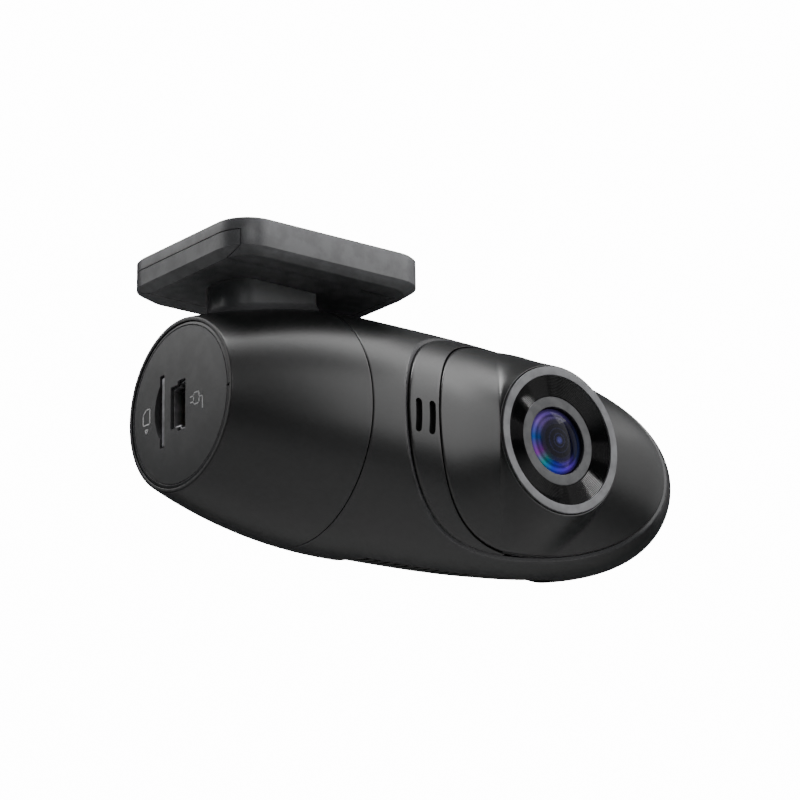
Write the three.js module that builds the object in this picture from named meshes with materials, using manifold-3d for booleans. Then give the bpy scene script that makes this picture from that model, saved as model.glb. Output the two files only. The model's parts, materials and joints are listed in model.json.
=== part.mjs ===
// Windscreen dash camera: a torpedo-shaped camera that turns in a sleeve under a slide-in glue mount.
// Millimetres. The parts are drawn about the body's long axis: X runs from the port end to the nose,
// the lens looks along -Y and Z is up. The origin of the exported group is the centre of the glue face.
import * as THREE from 'three';
import { mergeVertices } from 'three/addons/utils/BufferGeometryUtils.js';
import Module from 'manifold-3d';

const wasm = await Module();
wasm.setup();

// ---- driving dimensions ------------------------------------------------------------------
const GAP = 0.3;              // clearance between curved or cut neighbours
const SEAT = 0.1;             // clearance between flat faces that rest on each other

// body of revolution
const BODY_LENGTH = 95.5;
const BELLY_X = 31;           // where the body is widest
const BELLY_R = 19;
const PORT_TAPER = 27 / 38;   // radius at the port end over the widest radius
const PORT_END_R = BELLY_R * PORT_TAPER;
const NOSE_P = 3.275;         // bluntness of the nose curve, along and across
const NOSE_Q = 2.593;
const SHELL_WALL = 2;
const SEAM_X = 22.55;         // round seam between the sleeve and the turning capsule

// port end
const CAP_RIM = 0.65;         // wall of the sleeve's mouth round the end cap
const CAP_FACE_X = 0.1;
const CAP_THICKNESS = 2.2;
const CAP_CHAMFER = 0.5;
const LIP_STEP = 0.95;        // how far the sleeve's lip stands in behind the end cap
const LIP_WIDTH = 1.6;
const SPIGOT_LENGTH = 3.7;
const SPIGOT_WALL = 1;
const CORE_NECK_WALL = 1.3;
const CORE_END_X = 26;
const BULKHEAD = 1.5;
const FLANGE = 1.5;
const FLANGE_WIDTH = 3.1;

// aiming joint: stop pin in an arc groove
const TILT_UP = 90;           // degrees the lens can look up from level
const TILT_DOWN = 45;
const STOP_PIN_R = 0.8;
const STOP_GROOVE = 0.9;
const STOP_ANGLE = 100;       // pin place round the axis, from +Y towards +Z
const WASHER = 0.8;           // friction washer behind the sleeve's lip

// mount
const PLATE_LENGTH = 36.7;
const PLATE_WIDTH = 31;
const PLATE_CORNER = 5.5;
const PLATE_START_X = -0.1;
const PLATE_UNDER_Z = 20.75;  // underside above the body's axis
const PLATE_THICKNESS = 5.6;
const PLATE_CHAMFER = [1.5, 1.1];
const SLIDE_LAYER = 3.7;      // height of the sliding plate and of its seam on the port side
const SLIDE_HEAD = 1.6;       // length of the full-width head of the sliding plate
const TONGUE_WIDTH = 20.5;
const RAIL_DEPTH = 1.75;
const RAIL_LEDGE = 1.75;
const END_SKIRT = 3.1;
const PAD_THICKNESS = 0.8;
const PAD_INSET = 2.5;
const NECK_START_X = 6.7;
const NECK_WIDTH = 10;
const NECK_ROUND = 4;
const NECK_SCREWS_X = [12.5, 19.3];
const STOP_X = (NECK_SCREWS_X[0] + NECK_SCREWS_X[1]) / 2;   // the stop pin stands between the screws
const NECK_SCREW_R = 1;
const NECK_SCREW_HEAD_R = 1.9;
const NECK_SCREW_HEAD = 1.2;
const NECK_SCREW_TOP = 2.2;   // how deep the screws reach into the sliding plate

// front cover seams, seen from above: y = vertex - curve * (x - vertex)^2
const LENS_X = 59.4;
const BAND_SEAM = { x: LENS_X - 1.4, y: -7.6, curve: 0.01353, noseCurve: 0.00489 };
const PANEL_SEAM = { x: LENS_X + 2.6, y: -8.2, curve: 0.01504 };
const BAND_TIP_X = 54;
const MIC_SLOT_SHARES = [0.342, 0.767];  // of the band's width where it is widest
const seamEdgeX = (seam) => seam.x - Math.sqrt((BELLY_R + seam.y) / seam.curve);
const MIC_SLOTS_X = MIC_SLOT_SHARES.map((share) =>
  seamEdgeX(BAND_SEAM) * (1 - share) + seamEdgeX(PANEL_SEAM) * share);
const MIC_SLOT_Z = -0.75;
const MIC_SLOT_LENGTH = 5.3;
const MIC_SLOT_WIDTH = 1.2;

// lens, all radii about the lens axis
const LENS_PROUD = 0.33;      // lens ring in front of the widest part of the body
const RING_R = 11.9;
const RING_WALL = 1.4;
const RING_DEPTH = 6.5;
const INNER_RING_R = 7;
const INNER_RING_WALL = 1.4;
const BARREL_WALL = 1.8;
const BARREL_STEP = 1;         // how far the barrel's bore narrows towards the sensor
const RING_FLOOR = 1.2;
const GROOVED_FACE = [0.3, 0.9];   // outer and inner edge of the grooved ring behind the lens face
const GROOVED_T = 1.2;
const INNER_RING_FACE = 0.8;
const INNER_RING_BACK = 2.8;
const DOME_HEIGHT = 1.1;
const HOLDER_WALL = 1.5;
const HOLDER_SCREW = { r: 0.7, headR: 1.3, head: 0.8, grip: 1 };
const EAR = { reach: 3, half: 2.2, t: 1.6, screw: 1.4 };
const SENSOR = { halfX: 4.2, halfZ: 3.4, t: 0.8, room: 3.6 };
const COLLAR_FRONT = 0.6;     // wall of the cover's collar at its front edge
const COLLAR_SLOPE = 0.3;
const COLLAR_DEPTH = 9.4;

// electronics
const BOARD_Y = 2.75;
const BOARD_T = 0.8;
const BOARD_START_X = 3;
const BOARD_END_X = 46;
const PROCESSOR = { startX: 25, endX: 34, share: 5 / 9, height: 1 };
const SHIELD = { startX: 24, endX: 35.5, share: 0.69, height: 2.3, wall: 0.4 };
const SPREADER = { startX: 23, endX: 36.5, t: 1, room: 0.9 };
const RADIO = { startX: 36, endX: 45, half: 5, height: 1.6 };
const CAPACITOR = { startX: 13, endX: 33, r: 3.6 };
const RIBBON = { half: 3.5, t: 0.3, lap: 2 };
const SPEAKER = { fromNose: 16, y: 4, r: 6, domeR: 4.5, rimT: 2.4, t: 3 };
const MIC = { half: 2, depth: 1.2, halfZ: 1.5, meshT: 0.3, margin: 0.8 };
const SENSOR_BOARD = 22;
const RAIL_GRIP = 0.8;        // how far the core's rails reach over the board's edges
const CARD = { length: 15, width: 11, thickness: 0.8, y: 4.7, startX: 0.3, travel: 13 };
const CARD_SLOT_CLEAR = 0.2;
const CARD_SOCKET = { side: 1, back: 2, top: 0.8 };
const SCOOP = { r: 7, depth: 0.9, reach: 1.4 };
const SOCKET = { wide: 7.9, narrow: 6.7, wideY: -1.45, stepY: 0.6, narrowY: 2.45, z: -0.1, length: 9, wall: 0.35 };
const BUTTON = { x: 41, r: 3.5, proud: 0.4, travel: 0.5, flange: 1, flangeT: 0.9, stemR: 1.2 };
const PIPE = { r: 0.8, z: 6.2 };

// vent
const VENT_START_X = 33;
const VENT_FROM_NOSE = 21.1;
const VENT_ANGLES = [87, 119]; // degrees round the axis, from -Y towards -Z
const VENT_RECESS = 0.6;
const VENT_PITCH = 2;
const VENT_SLOT = 0.9;
const VENT_RIM = 1.2;

const ROUND = 36;             // facets round a big shell
const FINE = 24;

// ---- colours -----------------------------------------------------------------------------
const COLOURS = {
  body: [0x232426, 0.5, 0], panel: [0x1a1b1d, 0.4, 0], mount: [0x3a3b3e, 0.45, 0],
  cap: [0x55575a, 0.5, 0], ring: [0x6a6c6f, 0.4, 0.3], black: [0x0b0b0c, 0.35, 0],
  glass: [0x2b2a55, 0.05, 0], metal: [0xa9abad, 0.35, 0.9], board: [0x14442c, 0.6, 0],
  chip: [0x18191b, 0.5, 0], rubber: [0x202020, 0.9, 0], pad: [0xb9bcc0, 0.8, 0],
  light: [0xe8efe9, 0.3, 0], card: [0x2b2c2f, 0.5, 0], ribbon: [0xb07a2a, 0.6, 0],
};

// ---- solids ------------------------------------------------------------------------------
// Turns a closed three.js geometry into a solid, with its faces pointing out.
function solid(geometry) {
  const bare = geometry.clone();
  bare.deleteAttribute('normal');
  bare.deleteAttribute('uv');
  const merged = mergeVertices(bare, 1e-4);
  const points = merged.attributes.position.array;
  const triangles = [];
  let volume = 0;
  for (let i = 0; i < merged.index.count; i += 3) {
    const [a, b, c] = [0, 1, 2].map((k) => merged.index.getX(i + k));
    if (a === b || b === c || c === a) continue;
    triangles.push([a, b, c]);
    const [p, q, r] = [a, b, c].map((v) => new THREE.Vector3().fromArray(points, v * 3));
    volume += p.dot(q.cross(r));
  }
  if (volume < 0) triangles.forEach((t) => t.reverse());
  return new wasm.Manifold(new wasm.Mesh({
    numProp: 3, vertProperties: new Float32Array(points), triVerts: new Uint32Array(triangles.flat()),
  }));
}

// Extrudes a shape upwards from z0 to z1.
function prismZ(shape, z0, z1) {
  const geometry = new THREE.ExtrudeGeometry(shape, { depth: z1 - z0, bevelEnabled: false, curveSegments: 5 });
  return solid(geometry.translate(0, 0, z0));
}

// Extrudes a shape drawn in (y, z) along X from x0 to x1.
function prismX(shape, x0, x1) {
  const geometry = new THREE.ExtrudeGeometry(shape, { depth: x1 - x0, bevelEnabled: false, curveSegments: 5 });
  const turn = new THREE.Matrix4().makeBasis(
    new THREE.Vector3(0, 1, 0), new THREE.Vector3(0, 0, 1), new THREE.Vector3(1, 0, 0));
  return solid(geometry.applyMatrix4(turn).translate(x0, 0, 0));
}

// A block from its lowest to its highest corner.
function block(low, high) {
  const size = high.map((v, i) => v - low[i]);
  const middle = high.map((v, i) => (v + low[i]) / 2);
  return solid(new THREE.BoxGeometry(...size).translate(...middle));
}

// Turns a closed outline of [along, radius] points round the X axis.
function roundX(outline, segments = ROUND) {
  const points = outline.map(([x, r]) => new THREE.Vector2(r, x));
  const geometry = new THREE.LatheGeometry(points, segments);
  return solid(geometry.rotateZ(-Math.PI / 2));
}

// Turns a closed outline of [y, radius] points round the lens axis, or a parallel one.
function roundY(outline, x = LENS_X, z = 0, segments = FINE) {
  const points = outline.map(([y, r]) => new THREE.Vector2(r, y));
  return solid(new THREE.LatheGeometry(points, segments).translate(x, 0, z));
}

// Turns a closed outline of [z, radius] points round an upright axis.
function roundZ(outline, x, y, segments = 12) {
  const points = outline.map(([z, r]) => new THREE.Vector2(r, z));
  return solid(new THREE.LatheGeometry(points, segments).rotateX(Math.PI / 2).translate(x, y, 0));
}

// A plain rod as a closed outline of [along, radius] points.
const rod = (from, to, r) => [[from, 0], [from, r], [to, r], [to, 0]];
// A plain tube as a closed outline.
const tube = (from, to, inner, outer) => [[from, inner], [from, outer], [to, outer], [to, inner], [from, inner]];

function rectangle(x0, y0, x1, y1) {
  return new THREE.Shape([[x0, y0], [x1, y0], [x1, y1], [x0, y1]].map((p) => new THREE.Vector2(...p)));
}

// A rectangle with its own corner radius at the low and the high end of the first axis.
function roundedRectangle(x0, y0, x1, y1, lowR, highR) {
  const shape = new THREE.Shape();
  shape.moveTo(x0 + lowR, y0);
  shape.lineTo(x1 - highR, y0);
  if (highR) shape.absarc(x1 - highR, y0 + highR, highR, -Math.PI / 2, 0);
  shape.lineTo(x1, y1 - highR);
  if (highR) shape.absarc(x1 - highR, y1 - highR, highR, 0, Math.PI / 2);
  shape.lineTo(x0 + lowR, y1);
  shape.absarc(x0 + lowR, y1 - lowR, lowR, Math.PI / 2, Math.PI);
  shape.lineTo(x0, y0 + lowR);
  shape.absarc(x0 + lowR, y0 + lowR, lowR, Math.PI, 1.5 * Math.PI);
  return shape;
}

const main = new THREE.Group();

// Adds a finished piece to the model.
function add(name, shape, finish, opacity = 1) {
  const result = shape.getMesh();
  const geometry = new THREE.BufferGeometry();
  geometry.setAttribute('position', new THREE.BufferAttribute(result.vertProperties, 3));
  geometry.setIndex(new THREE.BufferAttribute(result.triVerts, 1));
  geometry.computeVertexNormals();
  const [color, roughness, metalness] = COLOURS[finish];
  const material = new THREE.MeshStandardMaterial({
    color, roughness, metalness, opacity, transparent: opacity < 1, flatShading: true,
  });
  const mesh = new THREE.Mesh(geometry, material);
  mesh.name = name;
  main.add(mesh);
}

// ---- body curve --------------------------------------------------------------------------
// Outer radius of the body at x, less an inset.
function bodyRadius(x, inset = 0) {
  if (x <= BELLY_X) {
    return BELLY_R - inset - (BELLY_R - PORT_END_R) * ((BELLY_X - x) / BELLY_X) ** 2;
  }
  const t = (x - BELLY_X) / (BODY_LENGTH - inset - BELLY_X);
  return (BELLY_R - inset) * (1 - t ** NOSE_P) ** (1 / NOSE_Q);
}

// Points along the port side of the body curve.
function sidePoints(from, to, inset, count) {
  return Array.from({ length: count + 1 }, (_, i) => {
    const x = from + (to - from) * i / count;
    return [x, bodyRadius(x, inset)];
  });
}

// Points round the nose, from just past the belly to the tip on the axis.
function nosePoints(inset, count) {
  return Array.from({ length: count }, (_, i) => {
    const angle = Math.PI / 2 * (i + 1) / count;
    const x = BELLY_X + (BODY_LENGTH - inset - BELLY_X) * Math.sin(angle) ** (2 / NOSE_P);
    return [x, i + 1 === count ? 0 : (BELLY_R - inset) * Math.cos(angle) ** (2 / NOSE_Q)];
  });
}

// The whole body as one solid, from x to the nose.
function bodySolid(from, inset, count = 12) {
  return roundX([[from, 0], ...sidePoints(from, BELLY_X, inset, 4), ...nosePoints(inset, count)]);
}

// ---- mount -------------------------------------------------------------------------------
const PLATE_END_X = PLATE_START_X + PLATE_LENGTH;
const PLATE_TOP_Z = PLATE_UNDER_Z + PLATE_THICKNESS;
const PLATE_MIDDLE_X = (PLATE_START_X + PLATE_END_X) / 2;
const GLUE_Z = PLATE_TOP_Z + SEAT + PAD_THICKNESS;
const SLIDE_TOP_Z = PLATE_UNDER_Z + SLIDE_LAYER - GAP;
const HEAD_END_X = PLATE_START_X + SLIDE_HEAD;
const FAR = 60;               // beyond the object on every side

function plateOutline(inset = 0) {
  const half = PLATE_WIDTH / 2 - inset;
  const corner = PLATE_CORNER - inset;
  return roundedRectangle(PLATE_START_X + inset, -half, PLATE_END_X - inset, half, corner, corner);
}

// The whole mount block with the chamfer round its underside.
function plateBlock() {
  const [width, height] = PLATE_CHAMFER;
  const foot = new THREE.ExtrudeGeometry(plateOutline(), {
    depth: 0.5, bevelThickness: height, bevelSize: width, bevelOffset: -width, bevelSegments: 1, curveSegments: 5,
  }).translate(0, 0, PLATE_UNDER_Z + height);
  return solid(foot).add(prismZ(plateOutline(), PLATE_UNDER_Z + height, PLATE_TOP_Z));
}

// The space taken by the sliding plate: head, tongue and the wings that run in the rails.
function slideSpace(clear) {
  const half = TONGUE_WIDTH / 2 + clear;
  const top = SLIDE_TOP_Z + clear;
  const end = PLATE_END_X - END_SKIRT - GAP + clear;
  const head = block([-FAR, -FAR, 0], [HEAD_END_X - GAP + clear, FAR, top]);
  const tongue = block([-FAR, -half, 0], [end, half, top]);
  const wings = block(
    [-FAR, -half - RAIL_DEPTH, PLATE_UNDER_Z + RAIL_LEDGE + GAP - clear], [end, half + RAIL_DEPTH, top]);
  return head.add(tongue).add(wings);
}

function screwX(from, shank, headR, headT, shankR, y, z) {
  // The head is at the high-x side and the shank points to the port end.
  return roundX([[from - shank, 0], [from - shank, shankR], [from, shankR], [from, headR], [from + headT, headR],
    [from + headT, 0]], 12).translate([0, y, z]);
}

const screwHole = (x, low, high) => roundZ(rod(low, high, NECK_SCREW_R + GAP), x, 0, 12);
const NECK_SCREW_END_Z = PLATE_UNDER_Z + NECK_SCREW_TOP;

function makeMount() {
  const pad = prismZ(plateOutline(PAD_INSET), PLATE_TOP_Z + SEAT, GLUE_Z);
  add('adhesive_pad', pad, 'pad');
  add('mount_plate', plateBlock().subtract(slideSpace(GAP)), 'mount');

  let slide = plateBlock().intersect(slideSpace(0));
  const neckShape = roundedRectangle(
    NECK_START_X, -NECK_WIDTH / 2, SEAM_X - GAP / 2, NECK_WIDTH / 2, NECK_ROUND, 0);
  let neck = prismZ(neckShape, 0, PLATE_UNDER_Z - SEAT).subtract(sleeveOuter(GAP));
  for (const x of NECK_SCREWS_X) {
    const hole = screwHole(x, 0, NECK_SCREW_END_Z + GAP);
    slide = slide.subtract(hole);
    neck = neck.subtract(hole);
  }
  add('slide_plate', slide, 'mount');
  add('bracket_neck', neck, 'mount');
}

// ---- sleeve and aiming joint ---------------------------------------------------------------
const CAP_BORE_R = PORT_END_R - CAP_RIM;
const CAP_R = CAP_BORE_R - GAP / 2;
const LIP_BORE_R = CAP_BORE_R - LIP_STEP;
const LIP_X = CAP_FACE_X + CAP_THICKNESS + GAP;
const LIP_END_X = LIP_X + LIP_WIDTH;
const CORE_R = CAP_R;
const CORE_BORE_R = LIP_BORE_R - GAP - CORE_NECK_WALL;
const SPIGOT_R = CORE_BORE_R - GAP / 2;
const SHOULDER_X = LIP_END_X + WASHER + 2 * SEAT;
const SLEEVE_BORE_R = CORE_R + GAP;
const SLEEVE_END_X = SEAM_X - GAP / 2;
const CAPSULE_X = SEAM_X + GAP / 2;

// Outer form of the sleeve, grown by a clearance.
function sleeveOuter(grow) {
  return roundX([[-grow, 0], ...sidePoints(0, SEAM_X + grow, -grow, 8), [SEAM_X + grow, 0]]);
}

function makeSleeve() {
  const inside = (x) => Math.max(bodyRadius(x, SHELL_WALL), SLEEVE_BORE_R);
  const inner = sidePoints(LIP_END_X, SLEEVE_END_X, 0, 6).map(([x]) => [x, inside(x)]).reverse();
  const outline = [[0, CAP_BORE_R], ...sidePoints(0, SLEEVE_END_X, 0, 8), ...inner,
    [LIP_END_X, LIP_BORE_R], [LIP_X, LIP_BORE_R], [LIP_X, CAP_BORE_R], [0, CAP_BORE_R]];
  let sleeve = roundX(outline);
  NECK_SCREWS_X.forEach((x, i) => {
    const seat = Math.max(inside(x), CORE_R + GAP + NECK_SCREW_HEAD);
    sleeve = sleeve.subtract(screwHole(x, 0, FAR))
      .subtract(roundZ(rod(0, seat + SEAT, NECK_SCREW_HEAD_R + GAP), x, 0));
    const screw = roundZ([[seat - NECK_SCREW_HEAD, 0], [seat - NECK_SCREW_HEAD, NECK_SCREW_HEAD_R],
      [seat, NECK_SCREW_HEAD_R], [seat, NECK_SCREW_R], [NECK_SCREW_END_Z, NECK_SCREW_R],
      [NECK_SCREW_END_Z, 0]], x, 0, 12);
    add(`neck_screw_${i + 1}`, screw, 'metal');
  });

  const pinOuter = inside(STOP_X) + SHELL_WALL / 2;
  const turnPin = (shape) => shape.rotate([STOP_ANGLE, 0, 0]);
  const pinHole = turnPin(roundY(rod(SLEEVE_BORE_R - GAP, pinOuter + GAP, STOP_PIN_R + GAP), STOP_X, 0, 12));
  const pin = turnPin(roundY(rod(CORE_R - STOP_GROOVE + GAP, pinOuter, STOP_PIN_R), STOP_X, 0, 12));
  add('barrel_sleeve', sleeve.subtract(pinHole), 'body');
  add('stop_pin', pin, 'metal');
  const washer = tube(LIP_END_X + SEAT, SHOULDER_X - SEAT, LIP_BORE_R, CORE_R);
  add('friction_washer', roundX(washer, FINE), 'rubber');
}

// ---- capsule: core, end cap and shells -------------------------------------------------------
// A wedge of the space round the body's axis. Angles run from +Y towards +Z, in degrees.
function wedge(fromAngle, toAngle, x0, x1, reach = FAR) {
  const steps = 6;
  const points = [new THREE.Vector2(0, 0)];
  for (let i = 0; i <= steps; i += 1) {
    const angle = (fromAngle + (toAngle - fromAngle) * i / steps) * Math.PI / 180;
    points.push(new THREE.Vector2(reach * Math.cos(angle), reach * Math.sin(angle)));
  }
  return prismX(new THREE.Shape(points), x0, x1);
}

const BOARD_BACK_Y = BOARD_Y + BOARD_T;
const SPIGOT_BORE_R = SPIGOT_R - SPIGOT_WALL;
const BOARD_HALF = Math.floor(10 * (Math.sqrt(SPIGOT_BORE_R ** 2 - BOARD_BACK_Y ** 2) - GAP)) / 10;
const CORE_SCREW_ANGLES = [30, 150, 270];
const CORE_SCREW_R = 0.7;
const CORE_SCREW_HEAD_R = 1.3;
const CORE_SCREW_HEAD = 0.8;
const CORE_SCREW_CIRCLE = CORE_R + FLANGE_WIDTH / 2;

function makeCore() {
  const flangeR = CORE_R + FLANGE_WIDTH;
  const neckR = LIP_BORE_R - GAP;
  const flangeX = CAPSULE_X + BULKHEAD + SEAT;
  let core = roundX([[LIP_X - GAP + SEAT, CORE_BORE_R], [LIP_X - GAP + SEAT, neckR], [SHOULDER_X, neckR],
    [SHOULDER_X, CORE_R], [flangeX, CORE_R], [flangeX, flangeR], [flangeX + FLANGE, flangeR],
    [flangeX + FLANGE, CORE_R], [CORE_END_X + FLANGE, CORE_R], [CORE_END_X + FLANGE, CORE_BORE_R],
    [LIP_X - GAP + SEAT, CORE_BORE_R]]);

  // The pin stands still while the core turns, so the groove reaches from the pin both ways.
  const margin = (STOP_PIN_R + GAP) / CORE_R * 180 / Math.PI;
  const ring = roundX(tube(STOP_X - STOP_PIN_R - GAP, STOP_X + STOP_PIN_R + GAP, CORE_R - STOP_GROOVE, FAR));
  core = core.subtract(ring.intersect(
    wedge(STOP_ANGLE - TILT_DOWN - margin, STOP_ANGLE + TILT_UP + margin, 0, CORE_END_X, CORE_R * 3)));

  // rails that hold the main board by its long edges
  const railStart = LIP_X + SPIGOT_LENGTH + 1;
  for (const side of [-1, 1]) {
    const edge = [side * (BOARD_HALF - RAIL_GRIP), side * (CORE_BORE_R + 0.5)].sort((a, b) => a - b);
    for (const [low, high] of [[BOARD_Y - GAP - 1, BOARD_Y - GAP], [BOARD_BACK_Y + GAP, BOARD_BACK_Y + GAP + 1]]) {
      const rail = block([railStart, low, edge[0]], [CORE_END_X, high, edge[1]]);
      core = core.add(rail.intersect(roundX(rod(0, FAR, CORE_R - 0.5), FINE)));
    }
  }
  core = core.subtract(cardSocketSpace(GAP / 2));
  CORE_SCREW_ANGLES.forEach((degrees, i) => {
    const angle = degrees * Math.PI / 180;
    const [y, z] = [CORE_SCREW_CIRCLE * Math.cos(angle), CORE_SCREW_CIRCLE * Math.sin(angle)];
    const head = flangeX + FLANGE + SEAT;
    core = core.subtract(roundX(rod(flangeX - 1, head + 1, CORE_SCREW_R + GAP), 12).translate([0, y, z]));
    add(`core_screw_${i + 1}`,
      screwX(head, head - CAPSULE_X - 2 * GAP, CORE_SCREW_HEAD_R, CORE_SCREW_HEAD, CORE_SCREW_R, y, z), 'metal');
  });
  add('core_tube', core, 'black');
}

// Outline of the stepped charging port, wide on the lens side, grown by a clearance.
function portShape(grow) {
  const [wide, narrow] = [SOCKET.wide / 2 + grow, SOCKET.narrow / 2 + grow];
  const { wideY, stepY, narrowY, z } = SOCKET;
  const points = [[wideY - grow, z - wide], [stepY + grow, z - wide], [stepY + grow, z - narrow],
    [narrowY + grow, z - narrow], [narrowY + grow, z + narrow], [stepY + grow, z + narrow],
    [stepY + grow, z + wide], [wideY - grow, z + wide]];
  return new THREE.Shape(points.map((p) => new THREE.Vector2(...p)));
}

const CARD_HALF = CARD.width / 2;
const CARD_LOW_Y = CARD.y - CARD.thickness / 2;
const CARD_HIGH_Y = CARD.y + CARD.thickness / 2;

// Outside of the card socket, grown by a clearance.
function cardSocketSpace(grow) {
  const start = CAP_FACE_X + CAP_THICKNESS + GAP;
  const half = CARD_HALF + CARD_SOCKET.side + grow;
  return block([start - grow, BOARD_BACK_Y + SEAT - grow, -half],
    [CARD.startX + CARD.length + CARD_SOCKET.back + grow, CARD_HIGH_Y + CARD_SOCKET.top + grow, half]);
}

function makeEndCap() {
  const back = CAP_FACE_X + CAP_THICKNESS;
  let cap = roundX([[CAP_FACE_X, 0], [CAP_FACE_X, CAP_R - CAP_CHAMFER], [CAP_FACE_X + CAP_CHAMFER, CAP_R],
    [back, CAP_R], [back, SPIGOT_R], [back + SPIGOT_LENGTH, SPIGOT_R],
    [back + SPIGOT_LENGTH, SPIGOT_BORE_R], [back, SPIGOT_BORE_R], [back, 0]]);
  const clear = CARD_SLOT_CLEAR;
  const slot = block([-1, CARD_LOW_Y - clear, -CARD_HALF - clear], [back + 1, CARD_HIGH_Y + clear, CARD_HALF + clear]);
  const scoop = roundX(rod(-1, CAP_FACE_X + SCOOP.depth, SCOOP.r), ROUND)
    .translate([0, CARD_HIGH_Y + clear + SCOOP.reach - SCOOP.r, 0])
    .intersect(block([-1, CARD_HIGH_Y, -CARD_HALF], [back, FAR, CARD_HALF]));
  cap = cap.subtract(slot).subtract(scoop).subtract(prismX(portShape(0), -1, back + 1));
  const behindCap = block([back + SEAT, -FAR, -FAR], [FAR, FAR, FAR]);
  cap = cap.subtract(cardSocketSpace(GAP / 2).intersect(behindCap));
  add('end_cap', cap, 'cap');
}

// Region in front of a cover seam, seen from above, as an upright prism.
function seamY(seam, x, shift) {
  const curve = x > seam.x && seam.noseCurve ? seam.noseCurve : seam.curve;
  return seam.y + shift - curve * (x - seam.x) ** 2;
}

function frontOf(seam, shift, fromX, toX) {
  const steps = 18;
  const points = [];
  for (let i = 0; i <= steps; i += 1) {
    const x = fromX + (toX - fromX) * i / steps;
    points.push(new THREE.Vector2(x, seamY(seam, x, shift)));
  }
  points.push(new THREE.Vector2(toX, -FAR * 2), new THREE.Vector2(fromX, -FAR * 2));
  return prismZ(new THREE.Shape(points), -FAR, FAR);
}

const LENS_FACE_Y = -(BELLY_R + LENS_PROUD);
const PANEL_HOLE_R = RING_R + GAP;
const VENT_END_X = BODY_LENGTH - VENT_FROM_NOSE;
const VENT_MIDDLE = (VENT_ANGLES[0] + VENT_ANGLES[1]) / 2;
// The vent angles run from -Y towards -Z, and a wedge's from +Y towards +Z.
const ventWedge = (trim, x0, x1) => wedge(180 + VENT_ANGLES[0] + trim, 180 + VENT_ANGLES[1] - trim, x0, x1);

function rearSurfaceY(z, x, inset = 0) {
  return Math.sqrt(bodyRadius(x, inset) ** 2 - z ** 2);
}

function makeShells() {
  const whole = bodySolid(CAPSULE_X, 0, 12);
  const hollow = bodySolid(CAPSULE_X + BULKHEAD, SHELL_WALL, 8);
  const shell = whole.subtract(hollow).subtract(roundX(rod(0, CAPSULE_X + BULKHEAD + 1, CORE_R + GAP)));

  const everything = [BELLY_X - 12, BODY_LENGTH + 10];
  const behindBand = frontOf(BAND_SEAM, GAP / 2, ...everything);
  let rear = shell.subtract(behindBand);
  rear = rear.subtract(ventWedge(0, VENT_START_X, VENT_END_X));
  const bossX = CAPSULE_X + BULKHEAD;
  for (const degrees of CORE_SCREW_ANGLES) {
    const angle = degrees * Math.PI / 180;
    const [y, z] = [CORE_SCREW_CIRCLE * Math.cos(angle), CORE_SCREW_CIRCLE * Math.sin(angle)];
    rear = rear.subtract(roundX(rod(CAPSULE_X + GAP, bossX + 1, CORE_SCREW_R + GAP), 12).translate([0, y, z]));
  }
  rear = rear.subtract(roundY(rod(0, FAR, BUTTON.r + GAP), BUTTON.x, 0, FINE));
  rear = rear.subtract(roundY(rod(0, FAR, PIPE.r + GAP), BUTTON.x, PIPE.z, 12));
  add('rear_shell', rear, 'body');

  const beforeBand = frontOf(BAND_SEAM, -GAP / 2, everything[0], BAND_TIP_X);
  let band = shell.intersect(beforeBand).subtract(frontOf(PANEL_SEAM, GAP / 2, ...everything));
  for (const x of MIC_SLOTS_X) {
    const half = MIC_SLOT_LENGTH / 2 - MIC_SLOT_WIDTH / 2;
    for (const z of [MIC_SLOT_Z - half, MIC_SLOT_Z + half]) {
      band = band.subtract(roundY(rod(-FAR, 0, MIC_SLOT_WIDTH / 2), x, z, 12));
    }
    band = band.subtract(block([x - MIC_SLOT_WIDTH / 2, -FAR, MIC_SLOT_Z - half],
      [x + MIC_SLOT_WIDTH / 2, 0, MIC_SLOT_Z + half]));
  }
  add('mic_band', band, 'body');

  const beforePanel = frontOf(PANEL_SEAM, -GAP / 2, everything[0], BAND_TIP_X + GAP)
    .add(frontOf(BAND_SEAM, -GAP / 2, BAND_TIP_X + GAP, everything[1]));
  const collarBack = LENS_FACE_Y + COLLAR_DEPTH;
  const collarFront = LENS_FACE_Y + GAP;
  const frontR = PANEL_HOLE_R + COLLAR_FRONT;
  const collar = roundY([[collarFront, 0], [collarFront, frontR],
    [collarBack, frontR + COLLAR_SLOPE * (collarBack - collarFront)], [collarBack, 0]], LENS_X, 0, ROUND);
  const panel = shell.intersect(beforePanel).add(collar.intersect(beforePanel))
    .subtract(roundY(rod(-FAR, 0, PANEL_HOLE_R), LENS_X, 0, ROUND));
  add('lens_panel', panel, 'panel');

  const recess = bodySolid(CAPSULE_X, VENT_RECESS, 12).subtract(hollow);
  let vent = recess.intersect(ventWedge(1, VENT_START_X + GAP, VENT_END_X - GAP));
  const slots = Math.floor((VENT_END_X - VENT_START_X - 2 * VENT_RIM) / VENT_PITCH);
  const firstX = (VENT_START_X + VENT_END_X - (slots - 1) * VENT_PITCH) / 2;
  const reach = BELLY_R * Math.sin((VENT_ANGLES[1] - VENT_ANGLES[0]) / 2 * Math.PI / 180) - 2 * VENT_RIM;
  for (let i = 0; i < slots; i += 1) {
    const x = firstX + i * VENT_PITCH;
    const slot = block([x - VENT_SLOT / 2, -FAR, -reach], [x + VENT_SLOT / 2, 0, reach]);
    vent = vent.subtract(slot.rotate([VENT_MIDDLE, 0, 0]));
  }
  add('vent_grille', vent, 'black');
}

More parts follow.
